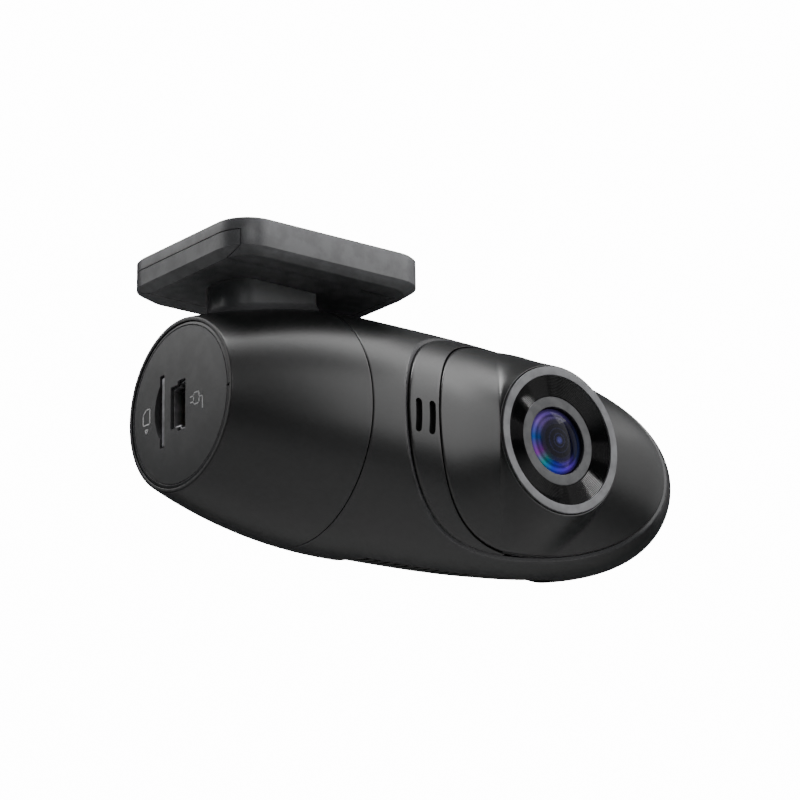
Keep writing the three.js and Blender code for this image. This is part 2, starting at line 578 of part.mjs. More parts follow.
// ---- lens ------------------------------------------------------------------------------------
function makeLens() {
  const ringInner = RING_R - RING_WALL;
  const face = LENS_FACE_Y;
  const back = face + RING_DEPTH;
  const barrelR = INNER_RING_R - GAP;
  add('lens_bezel', roundY([[face + 0.4, ringInner], [face, ringInner + 0.4], [face, RING_R - 0.3],
    [face + 0.3, RING_R], [back, RING_R], [back, INNER_RING_R + GAP], [back - RING_FLOOR, INNER_RING_R + GAP],
    [back - RING_FLOOR, ringInner], [face + 0.4, ringInner]], LENS_X, 0, ROUND), 'ring');

  const dishOuter = ringInner - GAP;
  const dishInner = INNER_RING_R + GAP;
  const [high, low] = [face + GROOVED_FACE[0], face + GROOVED_FACE[1]];
  add('grooved_ring', roundY([[high, dishOuter], [low, dishInner], [low + GROOVED_T, dishInner],
    [high + GROOVED_T, dishOuter], [high, dishOuter]], LENS_X, 0, ROUND), 'black');

  const glassR = INNER_RING_R - INNER_RING_WALL;
  const [ringFace, ringBack] = [face + INNER_RING_FACE, face + INNER_RING_BACK];
  add('inner_ring', roundY([[ringFace, INNER_RING_R - GAP], [ringFace + GAP, INNER_RING_R],
    [ringBack, INNER_RING_R], [ringBack, glassR], [ringFace + GAP, glassR],
    [ringFace, glassR + GAP], [ringFace, INNER_RING_R - GAP]]), 'ring');

  const barrelFront = ringBack + SEAT;
  const sensorFace = BOARD_Y - SEAT - SENSOR.t;
  const barrelBack = sensorFace - SENSOR.room;
  const boreR = barrelR - BARREL_WALL;
  const stepY = (barrelFront + barrelBack) / 2;
  const rearBoreR = boreR - BARREL_STEP;
  add('lens_barrel', roundY(tube(barrelFront, stepY, boreR, barrelR)).add(
    roundY(tube(stepY, barrelBack, rearBoreR, barrelR))), 'black');

  const domeR = glassR - GAP;
  const dome = [0, 1, 2, 3, 4, 5].map((i) => {
    const r = domeR * i / 5;
    return [ringFace + GAP + DOME_HEIGHT * (r / domeR) ** 2, r];
  });
  add('front_glass', roundY([...dome, [barrelFront - SEAT, domeR], [barrelFront - SEAT, 0]]), 'glass', 0.6);
  const secondR = boreR - GAP;
  add('second_element', roundY([[barrelFront + 1.6, 0], [barrelFront + 2.1, secondR],
    [barrelFront + 3.4, secondR], [barrelFront + 3.8, 0]], LENS_X, 0, 24), 'glass', 0.6);
  const rearR = rearBoreR - GAP;
  add('rear_element', roundY([[barrelBack - 3.4, 0], [barrelBack - 3, rearR], [barrelBack - 1.4, rearR],
    [barrelBack - 0.8, 0]], LENS_X, 0, 24), 'glass', 0.6);

  const holderHalf = barrelR + 1.1;
  const seatY = BOARD_Y - SEAT;
  const pocket = holderHalf - HOLDER_WALL;
  let holder = block([LENS_X - holderHalf, barrelBack - 5, -holderHalf],
    [LENS_X + holderHalf, seatY, holderHalf]);
  holder = holder.subtract(roundY(rod(barrelBack - 6, barrelBack + 0.5, barrelR + GAP)))
    .subtract(roundY(rod(barrelBack, sensorFace - 1, rearBoreR)))
    .subtract(block([LENS_X - pocket, barrelBack + 1.8, -pocket], [LENS_X + pocket, seatY + 1, pocket]));
  const earHalf = holderHalf + EAR.reach;
  const ear = block([LENS_X - EAR.half, seatY - EAR.t, -earHalf], [LENS_X + EAR.half, seatY, earHalf]).subtract(
    block([LENS_X - pocket, -FAR, -pocket], [LENS_X + pocket, FAR, pocket]));
  holder = holder.add(ear);
  const half = SENSOR_BOARD / 2;
  let board = block([LENS_X - half, BOARD_Y, -half], [LENS_X + half, BOARD_BACK_Y, half]);
  [-1, 1].forEach((side, i) => {
    const z = side * (holderHalf + EAR.screw);
    const { r, headR, head, grip } = HOLDER_SCREW;
    const hole = roundY(rod(seatY - grip - GAP, FAR, r + GAP), LENS_X, z, 12);
    holder = holder.subtract(hole);
    board = board.subtract(hole);
    const under = BOARD_BACK_Y + SEAT;
    add(`holder_screw_${i + 1}`, roundY([[seatY - grip, 0], [seatY - grip, r], [under, r], [under, headR],
      [under + head, headR], [under + head, 0]], LENS_X, z, 12), 'metal');
  });
  add('lens_holder', holder, 'black');
  add('sensor_board', board, 'board');
  const filter = rearBoreR + 0.4;
  add('infrared_filter', block([LENS_X - filter, barrelBack + 1.8 + SEAT, -filter],
    [LENS_X + filter, barrelBack + 2.3, filter]), 'glass', 0.6);
  add('image_sensor', block([LENS_X - SENSOR.halfX, sensorFace, -SENSOR.halfZ],
    [LENS_X + SENSOR.halfX, BOARD_Y - SEAT, SENSOR.halfZ]), 'chip');
}

// ---- electronics -----------------------------------------------------------------------------
function onBoard(name, x0, x1, z0, z1, height, finish) {
  add(name, block([x0, BOARD_BACK_Y + SEAT, z0], [x1, BOARD_BACK_Y + SEAT + height, z1]), finish);
}

function makeBoard() {
  const half = BOARD_HALF;
  const face = BOARD_BACK_Y + SEAT;
  add('main_board', block([BOARD_START_X, BOARD_Y, -half], [BOARD_END_X, BOARD_BACK_Y, half]), 'board');
  const chip = half * PROCESSOR.share;
  onBoard('processor', PROCESSOR.startX, PROCESSOR.endX, -chip, chip, PROCESSOR.height, 'chip');
  const { startX, endX, height, wall } = SHIELD;
  const can = half * SHIELD.share;
  const inner = block([startX + wall, face - 1, wall - can], [endX - wall, face + height - wall, can - wall]);
  add('shield_can', block([startX, face, -can], [endX, face + height, can]).subtract(inner), 'metal');
  const spread = face + height + SEAT;
  const spreadHalf = Math.sqrt((CORE_BORE_R - GAP) ** 2 - (spread + SPREADER.t) ** 2) - SPREADER.room;
  add('heat_spreader', block([SPREADER.startX, spread, -spreadHalf],
    [SPREADER.endX, spread + SPREADER.t, spreadHalf]), 'metal');
  add('wireless_module', block([RADIO.startX, BOARD_Y - SEAT - RADIO.height, -RADIO.half],
    [RADIO.endX, BOARD_Y - SEAT, RADIO.half]), 'metal');
  add('backup_capacitor', roundX(rod(CAPACITOR.startX, CAPACITOR.endX, CAPACITOR.r), 20)
    .translate([0, BOARD_Y - GAP - CAPACITOR.r, 0]), 'black');
  add('sensor_ribbon', block([BOARD_END_X - RIBBON.lap, face, -RIBBON.half],
    [LENS_X - SENSOR_BOARD / 2 + RIBBON.lap, face + RIBBON.t, RIBBON.half]), 'ribbon');
}

function makeSockets() {
  const { wall, length, wideY, z } = SOCKET;
  const front = CAP_FACE_X + 0.5;
  const shell = prismX(portShape(-GAP / 2), front, front + length)
    .subtract(prismX(portShape(-GAP / 2 - wall), front - 1, front + length - 1));
  const tongue = block([front + 1.2, wideY + 1.25, z - 2.6], [front + length - 0.5, wideY + 2.05, z + 2.6]);
  add('power_socket', shell.add(tongue), 'metal');

  const depth = CARD.startX + CARD.length;
  const space = CARD_SLOT_CLEAR;
  const mouth = block([0, CARD_LOW_Y - space, -CARD_HALF - space],
    [depth + 1, CARD_HIGH_Y + space, CARD_HALF + space]);
  add('card_socket', cardSocketSpace(0).subtract(mouth), 'metal');
  add('memory_card', block([CARD.startX, CARD_LOW_Y, -CARD_HALF], [depth, CARD_HIGH_Y, CARD_HALF]), 'card');
}

function makeControls() {
  const { x, r, proud, travel, flange, flangeT, stemR } = BUTTON;
  const top = bodyRadius(x) + proud;
  const flangeTop = rearSurfaceY(r + flange, x, SHELL_WALL) - GAP;
  const switchTop = BOARD_BACK_Y + SEAT + 1.6;
  const stemEnd = switchTop + travel + SEAT;
  add('power_button', roundY([[stemEnd, 0], [stemEnd, stemR], [flangeTop - flangeT, stemR],
    [flangeTop - flangeT, r + flange], [flangeTop, r + flange], [flangeTop, r], [top - 0.3, r],
    [top, r - 0.3], [top, 0]], x, 0, 24), 'panel');
  onBoard('button_switch', x - 2, x + 2, -2, 2, 1.6, 'chip');
  onBoard('status_led', x - 0.8, x + 0.8, PIPE.z - 0.5, PIPE.z + 0.5, 0.6, 'light');
  const lit = BOARD_BACK_Y + SEAT + 0.6 + GAP;
  add('light_pipe', roundY(rod(lit, rearSurfaceY(PIPE.z, x) - 0.1, PIPE.r), x, PIPE.z, 12), 'light');
}

function makeSound() {
  const { y, r, domeR, rimT, t } = SPEAKER;
  add('speaker', roundY([[y, 0], [y, r], [y + rimT, r], [y + t, domeR], [y + t, 0]],
    BODY_LENGTH - SPEAKER.fromNose, 0, 24), 'black');
  const x = (MIC_SLOTS_X[0] + MIC_SLOTS_X[1]) / 2;
  const reach = MIC_SLOT_LENGTH / 2 + MIC.margin;
  const side = (MIC_SLOTS_X[1] - MIC_SLOTS_X[0]) / 2 + MIC_SLOT_WIDTH / 2 + MIC.margin * 0.75;
  const behind = -rearSurfaceY(Math.abs(MIC_SLOT_Z) + reach, x, SHELL_WALL) + GAP;
  const back = behind + MIC.meshT;
  add('mic_mesh', block([x - side, behind, MIC_SLOT_Z - reach], [x + side, back, MIC_SLOT_Z + reach]), 'black');
  add('microphone', block([x - MIC.half, back + SEAT, MIC_SLOT_Z - MIC.halfZ],
    [x + MIC.half, back + SEAT + MIC.depth, MIC_SLOT_Z + MIC.halfZ]), 'metal');
}

makeMount();
makeSleeve();
makeCore();
makeEndCap();
makeShells();
makeLens();
makeBoard();
makeSockets();
makeControls();
makeSound();

main.position.set(-PLATE_MIDDLE_X, 0, -GLUE_Z);
const dashCamera = new THREE.Group();
dashCamera.add(main);

export default dashCamera;
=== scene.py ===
"""Looks of a windscreen dash camera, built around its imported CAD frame.

The body is drawn about its own long axis in millimetres: X runs from the port end to the nose, the
lens looks along -Y and Z is up. Datum turns those places into the frame's metres.
"""

from __future__ import annotations

import json
import logging
import math
from collections.abc import Callable, Sequence
from dataclasses import dataclass, field
from enum import Enum

import bmesh
import bpy
import numpy as np
from mathutils import Matrix, Vector


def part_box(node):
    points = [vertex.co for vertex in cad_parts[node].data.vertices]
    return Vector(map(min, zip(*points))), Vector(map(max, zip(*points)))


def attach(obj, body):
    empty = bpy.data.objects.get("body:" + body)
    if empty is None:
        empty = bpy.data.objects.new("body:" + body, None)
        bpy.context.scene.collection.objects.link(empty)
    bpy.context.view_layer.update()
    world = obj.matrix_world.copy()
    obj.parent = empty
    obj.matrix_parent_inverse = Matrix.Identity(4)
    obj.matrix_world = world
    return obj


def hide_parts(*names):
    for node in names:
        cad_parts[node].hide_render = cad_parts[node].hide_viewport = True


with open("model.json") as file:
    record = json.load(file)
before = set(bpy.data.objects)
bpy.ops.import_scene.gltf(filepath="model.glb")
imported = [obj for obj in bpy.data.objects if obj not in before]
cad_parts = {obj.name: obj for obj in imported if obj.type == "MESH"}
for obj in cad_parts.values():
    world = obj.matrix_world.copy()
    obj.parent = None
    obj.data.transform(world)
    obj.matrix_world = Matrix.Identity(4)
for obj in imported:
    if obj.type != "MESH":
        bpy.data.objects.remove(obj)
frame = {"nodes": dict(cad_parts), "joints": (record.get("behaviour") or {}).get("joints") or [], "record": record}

LOG = logging.getLogger("dash_camera")
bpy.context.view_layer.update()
MM = 0.001
TAU = 2 * math.pi
Point = tuple[float, float, float]
Profile = list[tuple[float, float]]


class Axis(Enum):
    """Axis that a turned piece runs round."""

    BODY = "x"
    LENS = "y"
    UP = "z"


# ---- places and curves ---------------------------------------------------------------------------
@dataclass(frozen=True)
class Datum:
    """The body's own frame, read from the CAD frame."""

    port_x: float
    axis_z: float

    @classmethod
    def from_frame(cls) -> Datum:
        """Reads the port end from the sleeve and the axis height from the aiming joint."""
        tilt = next(j for j in frame["joints"] if j["name"] == "camera_tilt")
        return cls(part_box("barrel_sleeve")[0].x / MM, tilt["pos_m"][2] / MM)

    def metres(self, points: np.ndarray) -> np.ndarray:
        """Turns body points in millimetres into frame points in metres."""
        return (np.asarray(points, float) + [self.port_x, 0, self.axis_z]) * MM


@dataclass(frozen=True)
class BodyCurve:
    """Outline of the torpedo-shaped body.

    Args:
        length: from the port end to the tip of the nose.
        belly_x: where the body is widest.
        belly_r: radius there.
        port_r: radius at the port end.
        nose_p: bluntness of the nose along the axis.
        nose_q: bluntness of the nose across it.
    """

    length: float
    belly_r: float
    belly_x: float = 31.0
    port_r: float = 13.5
    nose_p: float = 3.275
    nose_q: float = 2.593

    def radius(self, x: np.ndarray | float, inset: float = 0.0) -> np.ndarray:
        """Radius of the body at x, less an inset.

        Args:
            x: places along the body.
            inset: how far inside the surface.

        Returns:
            The radius at each place.
        """
        x = np.asarray(x, float)
        back = np.clip((self.belly_x - x) / self.belly_x, 0, None)
        side = self.belly_r - inset - (self.belly_r - self.port_r) * back**2
        t = np.clip((x - self.belly_x) / (self.length - inset - self.belly_x), 0, 1)
        nose = (self.belly_r - inset) * (1 - t**self.nose_p) ** (1 / self.nose_q)
        return np.where(x < self.belly_x, side, nose)

    def around(self, x: np.ndarray, theta: np.ndarray, inset: float = 0.0) -> np.ndarray:
        """Points on the body; theta runs from the lens side downwards."""
        r = self.radius(x, inset)
        return np.stack([x, -r * np.cos(theta), -r * np.sin(theta)], -1)

    def front_y(self, x: np.ndarray, z: np.ndarray, inset: float = 0.0) -> np.ndarray:
        """Y of the lens-side surface over a point of the upright middle plane."""
        return -np.sqrt(np.clip(self.radius(x, inset) ** 2 - z**2, 1e-6, None))


@dataclass(frozen=True)
class Seams:
    """The two curved cover seams, each y = vertex - curve * (x - vertex)^2 seen from above."""

    lens_x: float
    band_x: float = -1.4
    band_y: float = -7.6
    band_curve: float = 0.01353
    nose_curve: float = 0.00489
    panel_x: float = 2.6
    panel_y: float = -8.2
    panel_curve: float = 0.01504

    def band(self, x: np.ndarray) -> np.ndarray:
        """Seam between the rear shell and everything in front of it."""
        d = np.asarray(x, float) - self.lens_x - self.band_x
        return self.band_y - np.where(d > 0, self.nose_curve, self.band_curve) * d**2

    def panel(self, x: np.ndarray) -> np.ndarray:
        """Seam between the microphone band and the lens panel.

        Args:
            x: places along the body.

        Returns:
            The seam's Y at each place.
        """
        d = np.asarray(x, float) - self.lens_x - self.panel_x
        start = self.lens_x + self.panel_x
        step = self.band(start) - self.panel_y
        return np.where(d < 0, self.panel_y - self.panel_curve * d**2, self.band(x) - step)


DATUM = Datum.from_frame()


def cad_corners(node: str) -> np.ndarray:
    """Low and high corner of a CAD node's box, in body millimetres."""
    return np.array(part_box(node)) / MM - [DATUM.port_x, 0, DATUM.axis_z]


SHELL_LOW, SHELL_HIGH = cad_corners("rear_shell")
CURVE = BodyCurve(length=SHELL_HIGH[0], belly_r=round((SHELL_HIGH[2] - SHELL_LOW[2]) / 2, 2))
LENS_X = (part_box("lens_bezel")[0].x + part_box("lens_bezel")[1].x) / 2 / MM - DATUM.port_x
LENS_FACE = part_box("lens_bezel")[0].y / MM
SEAMS = Seams(LENS_X)
CAD_SEAM_HALF = 0.15
SEAM_HALF = 0.07
SEAM_X = SHELL_LOW[0] - CAD_SEAM_HALF


# ---- mesh tools ----------------------------------------------------------------------------------
def mesh_piece(name: str, points: np.ndarray, faces: list[tuple[int, ...]]) -> bpy.types.Object:
    """Makes a mesh object from body points in millimetres.

    Args:
        name: name of the piece.
        points: an array of points.
        faces: vertex indices of each face.

    Returns:
        The new object, with its place in its mesh.
    """
    mesh = bpy.data.meshes.new(name)
    mesh.from_pydata(DATUM.metres(points).tolist(), [], faces)
    mesh.validate()
    piece = bpy.data.objects.new(name, mesh)
    bpy.context.scene.collection.objects.link(piece)
    return piece


def grid_faces(rows: int, columns: int, wrap: bool, start: int = 0) -> list[tuple[int, ...]]:
    """Quads of a grid of points, row by row; wrap joins the last column to the first.

    Args:
        rows: number of rows.
        columns: number of points in a row.
        wrap: whether the last column joins the first.
        start: index of the first point.

    Returns:
        Vertex indices of each quad.
    """
    last = columns if wrap else columns - 1
    return [
        (start + i * columns + j, start + i * columns + (j + 1) % columns,
         start + (i + 1) * columns + (j + 1) % columns, start + (i + 1) * columns + j)
        for i in range(rows - 1) for j in range(last)
    ]


def clean(piece: bpy.types.Object, merge: float = 0.002, sharp: float = 32.0) -> bpy.types.Object:
    """Merges doubles, points the faces outwards, and shades smooth with sharp creases.

    Args:
        piece: the piece to clean.
        merge: merging distance in millimetres.
        sharp: creases over this angle, in degrees, stay sharp.

    Returns:
        The same piece.
    """
    work = bmesh.new()
    work.from_mesh(piece.data)
    bmesh.ops.remove_doubles(work, verts=work.verts, dist=merge * MM)
    bmesh.ops.dissolve_degenerate(work, dist=merge * MM * 0.5, edges=work.edges)
    bmesh.ops.recalc_face_normals(work, faces=work.faces)
    work.to_mesh(piece.data)
    work.free()
    piece.data.shade_smooth()
    piece.data.set_sharp_from_angle(angle=math.radians(sharp))
    return piece


def apply_modifiers(piece: bpy.types.Object) -> bpy.types.Object:
    """Bakes the piece's modifiers into a plain mesh.

    Args:
        piece: the piece to bake.

    Returns:
        The same piece.
    """
    graph = bpy.context.evaluated_depsgraph_get()
    baked = bpy.data.meshes.new_from_object(piece.evaluated_get(graph), depsgraph=graph)
    piece.modifiers.clear()
    old, piece.data = piece.data, baked
    baked.name = piece.name
    bpy.data.meshes.remove(old)
    return piece


def cut(piece: bpy.types.Object, *tools: bpy.types.Object, join: bool = False) -> bpy.types.Object:
    """Cuts closed tools out of a closed piece, or joins them to it, and removes the tools.

    Args:
        piece: the piece to change.
        *tools: closed tools, removed afterwards.
        join: whether the tools are added instead.

    Returns:
        The same piece.
    """
    for tool in tools:
        change = piece.modifiers.new("cut", "BOOLEAN")
        change.operation = "UNION" if join else "DIFFERENCE"
        change.object = tool
        change.solver = "MANIFOLD"
    apply_modifiers(piece)
    for tool in tools:
        bpy.data.objects.remove(tool)
    return piece


def soften(piece: bpy.types.Object, width: float, steps: int = 3, angle: float = 30.0) -> bpy.types.Object:
    """Rounds the piece's hard edges by a width in millimetres.

    Args:
        piece: the piece to change.
        width: width of the rounding.
        steps: facets across it.
        angle: edges sharper than this, in degrees, are rounded.

    Returns:
        The same piece.
    """
    bevel = piece.modifiers.new("soften", "BEVEL")
    bevel.width, bevel.segments = width * MM, steps
    bevel.limit_method, bevel.angle_limit = "ANGLE", math.radians(angle)
    bevel.use_clamp_overlap = True
    bevel.harden_normals = False
    return apply_modifiers(piece)


def rounded(profile: Profile, radius: float, steps: int = 4, closed: bool = True) -> Profile:
    """Rounds the corners of a profile.

    Args:
        profile: corner points, with a radius of their own as an optional third value.
        radius: radius of the other corners.
        steps: points in each round.
        closed: whether the profile joins up.

    Returns:
        The profile with an arc-like round at each corner.
    """
    result: Profile = []
    count = len(profile)
    for i, corner in enumerate(profile):
        here = Vector(corner[:2])
        if not closed and i in (0, count - 1):
            result.append(tuple(here))
            continue
        before, after = Vector(profile[i - 1][:2]), Vector(profile[(i + 1) % count][:2])
        own = corner[2] if len(corner) > 2 else radius
        reach = min(own, 0.45 * (before - here).length, 0.45 * (after - here).length)
        if reach < 1e-4:
            result.append(tuple(here))
            continue
        start, end = here + (before - here).normalized() * reach, here + (after - here).normalized() * reach
        for k in range(steps + 1):
            t = k / steps
            result.append(tuple((1 - t) ** 2 * start + 2 * t * (1 - t) * here + t**2 * end))
    return result


def turned(name: str, profile: Profile, axis: Axis, segments: int = 128, x: float = 0.0, y: float = 0.0,
           z: float = 0.0) -> bpy.types.Object:
    """Turns a closed profile of (along, radius) points into a solid.

    Args:
        name: name of the piece.
        profile: points round the section; points on the axis close it.
        axis: the axis it runs round.
        segments: facets round the axis.
        x: shift of the axis along the body.
        y: shift of the axis away from the lens.
        z: shift of the axis upwards.

    Returns:
        The turned piece, cleaned.
    """
    angles = np.arange(segments) * TAU / segments
    along, radius = np.array([p[:2] for p in profile]).T
    a = np.repeat(along[:, None], segments, 1)
    c, s = radius[:, None] * np.cos(angles), radius[:, None] * np.sin(angles)
    order = {Axis.BODY: (a, c, s), Axis.LENS: (s, a, c), Axis.UP: (c, s, a)}[axis]
    points = np.stack(order, -1) + [x, y, z]
    rows = np.concatenate([points, points[:1]])
    return clean(mesh_piece(name, rows.reshape(-1, 3), grid_faces(len(rows), segments, True)))


def tube(name: str, rings: Sequence[np.ndarray], merge: float = 0.002) -> bpy.types.Object:
    """Joins rings of points into a closed solid with flat ends.

    Args:
        name: name of the piece.
        rings: the points of each ring, the same number in each.
        merge: merging distance in millimetres.

    Returns:
        The closed piece.
    """
    rows, columns = len(rings), len(rings[0])
    last = (rows - 1) * columns
    ends = [tuple(range(columns))[::-1], tuple(range(last, last + columns))]
    return clean(mesh_piece(name, np.concatenate(rings), grid_faces(rows, columns, True) + ends), merge)


def stack(name: str, outline: Sequence[tuple[float, float]], levels: Profile, axis: Axis) -> bpy.types.Object:
    """Stacks copies of an outline along an axis, each moved inwards by its own inset.

    Args:
        name: name of the piece.
        outline: points in the plane across the axis: (y, z), (x, z) or (x, y).
        levels: (place on the axis, inset) of each ring.
        axis: the axis it runs along.

    Returns:
        The closed piece.
    """
    flat = np.array(outline, float)
    middle = (flat.min(0) + flat.max(0)) / 2
    half = (flat.max(0) - flat.min(0)) / 2
    rings = []
    for level, inset in levels:
        u, v = (middle + (flat - middle) * (half - inset) / half).T
        w = np.full(len(flat), level)
        rings.append(np.stack({Axis.BODY: (w, u, v), Axis.LENS: (u, w, v), Axis.UP: (u, v, w)}[axis], -1))
    return tube(name, rings, merge=0.0005)


def slab(name: str, outline: Sequence[tuple[float, float]], low: float, high: float,
         axis: Axis) -> bpy.types.Object:
    """Extrudes an outline between two places on an axis."""
    return stack(name, outline, [(low, 0.0), (high, 0.0)], axis)


def box_piece(name: str, low: Point, high: Point) -> bpy.types.Object:
    """A plain block between two corners, used as a tool or a start shape."""
    (x0, y0, z0), (x1, y1, z1) = low, high
    return slab(name, [(x0, y0), (x1, y0), (x1, y1), (x0, y1)], z0, z1, Axis.UP)


def round_rectangle(x0: float, y0: float, x1: float, y1: float, radii: Sequence[float],
                    steps: int = 20) -> list[tuple[float, float]]:
    """Outline of a rectangle with its own radius at each corner, anticlockwise from the low corner.

    Args:
        x0: low end across.
        y0: low end upwards.
        x1: high end across.
        y1: high end upwards.
        radii: radius of each corner, from the low one anticlockwise.
        steps: steps in each round.

    Returns:
        The outline's points.
    """
    corners = [(x0, y0, 1, 1, 180), (x1, y0, -1, 1, 270), (x1, y1, -1, -1, 0), (x0, y1, 1, -1, 90)]
    outline = []
    for (cx, cy, sx, sy, start), r in zip(corners, radii):
        if r <= 0:
            outline.append((cx, cy))
            continue
        for k in range(steps + 1):
            angle = math.radians(start + 90 * k / steps)
            outline.append((cx + sx * r + r * math.cos(angle), cy + sy * r + r * math.sin(angle)))
    return outline


def mark_edges(piece: bpy.types.Object, reach: float = 0.35) -> None:
    """Writes an edge attribute, 1 on hard or tightly bent edges and 0 on open surface.

    Args:
        piece: the piece to mark.
        reach: shortest edge, in millimetres, that still spreads the mark to its far end.
    """
    work = bmesh.new()
    work.from_mesh(piece.data)
    bent = {v.index for e in work.edges if len(e.link_faces) == 2 and e.calc_face_angle(0) > 0.17
            for v in e.verts}
    near = {v.index for e in work.edges if e.calc_length() < reach * MM
            and (e.verts[0].index in bent) != (e.verts[1].index in bent) for v in e.verts}
    count = len(work.verts)
    work.free()
    values = np.zeros(count, np.float32)
    values[list(near)] = 0.5
    values[list(bent)] = 1.0
    layer = piece.data.attributes.get("edge") or piece.data.attributes.new("edge", "FLOAT", "POINT")
    layer.data.foreach_set("value", values)


def hand_over(piece: bpy.types.Object, body: str, finish: bpy.types.Material, slot: str,
              *nodes: str, edges: bool = True) -> bpy.types.Object:
    """Dresses a finished piece, puts it on its body and lets it stand for its CAD nodes.

    Args:
        piece: the finished piece.
        body: the CAD body it moves with.
        finish: its material.
        slot: the record's material slot; not used.
        *nodes: the CAD nodes it stands for.
        edges: whether to mark its edges for wear.

    Returns:
        The same piece.
    """
    if finish.name not in [m.name for m in piece.data.materials if m]:
        piece.data.materials.clear()
        piece.data.materials.append(finish)
    if edges:
        mark_edges(piece)
    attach(piece, body)
    if nodes:
        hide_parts(*nodes)
    LOG.info("%s rides on %s, %d faces", piece.name, body, len(piece.data.polygons))
    return piece


# ---- finishes ------------------------------------------------------------------------------------
class TreeBuilder:
    """Short way to add nodes to a tree and to link them."""

    def __init__(self, tree: bpy.types.NodeTree) -> None:
        """Keeps the tree to build."""
        self.tree = tree

    def feed(self, node: bpy.types.Node, inputs: dict) -> None:
        """Links each named input of a node to an output socket, or sets its value.

        Args:
            node: the node to feed.
            inputs: socket name or number to a value or to an output socket.
        """
        for key, value in inputs.items():
            if isinstance(value, bpy.types.NodeSocket):
                self.tree.links.new(value, node.inputs[key])
            else:
                node.inputs[key].default_value = value

    def node(self, kind: str, inputs: dict | None = None, **settings: object) -> bpy.types.Node:
        """Adds a node.

        Args:
            kind: node type; the ShaderNode prefix may be left out.
            inputs: what its input sockets are set or linked to.
            **settings: properties of the node.

        Returns:
            The new node.
        """
        full = kind.startswith(("NodeGroup", "ShaderNode", "GeometryNode"))
        made = self.tree.nodes.new(kind if full else "ShaderNode" + kind)
        for key, value in settings.items():
            setattr(made, key, value)
        self.feed(made, inputs or {})
        return made

    def math(self, operation: str, *values: object, clamp: bool = False) -> bpy.types.NodeSocket:
        """Adds a Math node and returns its output."""
        return self.node("Math", dict(enumerate(values)), operation=operation, use_clamp=clamp).outputs[0]


class Shader(TreeBuilder):
    """Builds the tree of a material or of a shader group."""

    def ramp(self, value: bpy.types.NodeSocket, low: float, high: float) -> bpy.types.NodeSocket:
        """Maps a value from low and high to 0 and 1, with smooth ends."""
        return self.node("MapRange", {0: value, 1: low, 2: high}, interpolation_type="SMOOTHSTEP").outputs[0]

    def mix(self, factor: object, first: object, second: object) -> bpy.types.NodeSocket:
        """Mixes two colours."""
        return self.node("Mix", {0: factor, 6: first, 7: second}, data_type="RGBA").outputs[2]

    def object_place(self) -> bpy.types.NodeSocket:
        """Object coordinates, in metres."""
        return self.node("TexCoord").outputs["Object"]


def new_group(name: str,
              sockets: Sequence[tuple[str, str, str]]) -> tuple[Shader, bpy.types.Node, bpy.types.Node]:
    """Starts a shader node group.

    Args:
        name: name of the group.
        sockets: (name, INPUT or OUTPUT, socket type without its NodeSocket prefix) of each socket.

    Returns:
        The group's shader builder, its input node and its output node.
    """
    tree = bpy.data.node_groups.new(name, "ShaderNodeTree")
    for label, way, kind in sockets:
        tree.interface.new_socket(label, in_out=way, socket_type="NodeSocket" + kind)
    shader = Shader(tree)
    return shader, shader.node("NodeGroupInput"), shader.node("NodeGroupOutput")


def grain_group() -> bpy.types.NodeTree:
    """Moulded-in grain: a fine spark-eroded texture with a slow drift of tone.

    Returns:
        The group's tree.
    """
    shader, start, end = new_group("moulded_grain", [
        ("Size", "INPUT", "Float"), ("Height", "OUTPUT", "Float"), ("Speckle", "OUTPUT", "Float"),
        ("Drift", "OUTPUT", "Float")])
    place = shader.object_place()
    fine = shader.node("TexNoise", {"Vector": place, "Scale": start.outputs["Size"], "Detail": 3.0,
                                    "Roughness": 0.6})
    coarse = shader.node("TexNoise", {"Vector": place, "Detail": 2.0, "Roughness": 0.5,
                                      "Scale": shader.math("MULTIPLY", start.outputs["Size"], 0.33)})
    height = shader.math("ADD", fine.outputs[0], shader.math("MULTIPLY", coarse.outputs[0], 0.6))
    drift = shader.node("TexNoise", {"Vector": place, "Scale": 55.0, "Detail": 2.0})
    shader.tree.links.new(height, end.inputs["Height"])
    shader.tree.links.new(shader.ramp(fine.outputs[0], 0.35, 0.7), end.inputs["Speckle"])
    shader.tree.links.new(shader.ramp(drift.outputs[0], 0.3, 0.7), end.inputs["Drift"])
    return shader.tree


def wear_group() -> bpy.types.NodeTree:
    """Slight polish where hands rub the edges; the mask comes from the edge attribute.

    Returns:
        The group's tree.
    """
    shader, start, end = new_group("edge_polish", [
        ("Amount", "INPUT", "Float"), ("Mask", "OUTPUT", "Float")])
    edge = shader.node("Attribute", attribute_name="edge")
    noise = shader.node("TexNoise", {"Vector": shader.object_place(), "Scale": 420.0, "Detail": 3.0})
    broken = shader.ramp(noise.outputs[0], 0.35, 0.65)
    rubbed = shader.math("MULTIPLY", edge.outputs["Fac"], broken)
    mask = shader.math("MULTIPLY", rubbed, start.outputs["Amount"])
    shader.tree.links.new(mask, end.inputs["Mask"])
    return shader.tree


def dust_group() -> bpy.types.NodeTree:
    """A thin scatter of dust that settles on faces that look up.

    Returns:
        The group's tree.
    """
    shader, start, end = new_group("settled_dust", [
        ("Amount", "INPUT", "Float"), ("Mask", "OUTPUT", "Float")])
    up = shader.node("SeparateXYZ", {0: shader.node("NewGeometry").outputs["Normal"]}).outputs[2]
    noise = shader.node("TexNoise", {"Vector": shader.object_place(), "Scale": 1900.0, "Detail": 4.0})
    specks = shader.ramp(noise.outputs[0], 0.56, 0.74)
    mask = shader.math("MULTIPLY", shader.math("MULTIPLY", shader.ramp(up, 0.2, 0.95), specks),
                       start.outputs["Amount"])
    shader.tree.links.new(mask, end.inputs["Mask"])
    return shader.tree


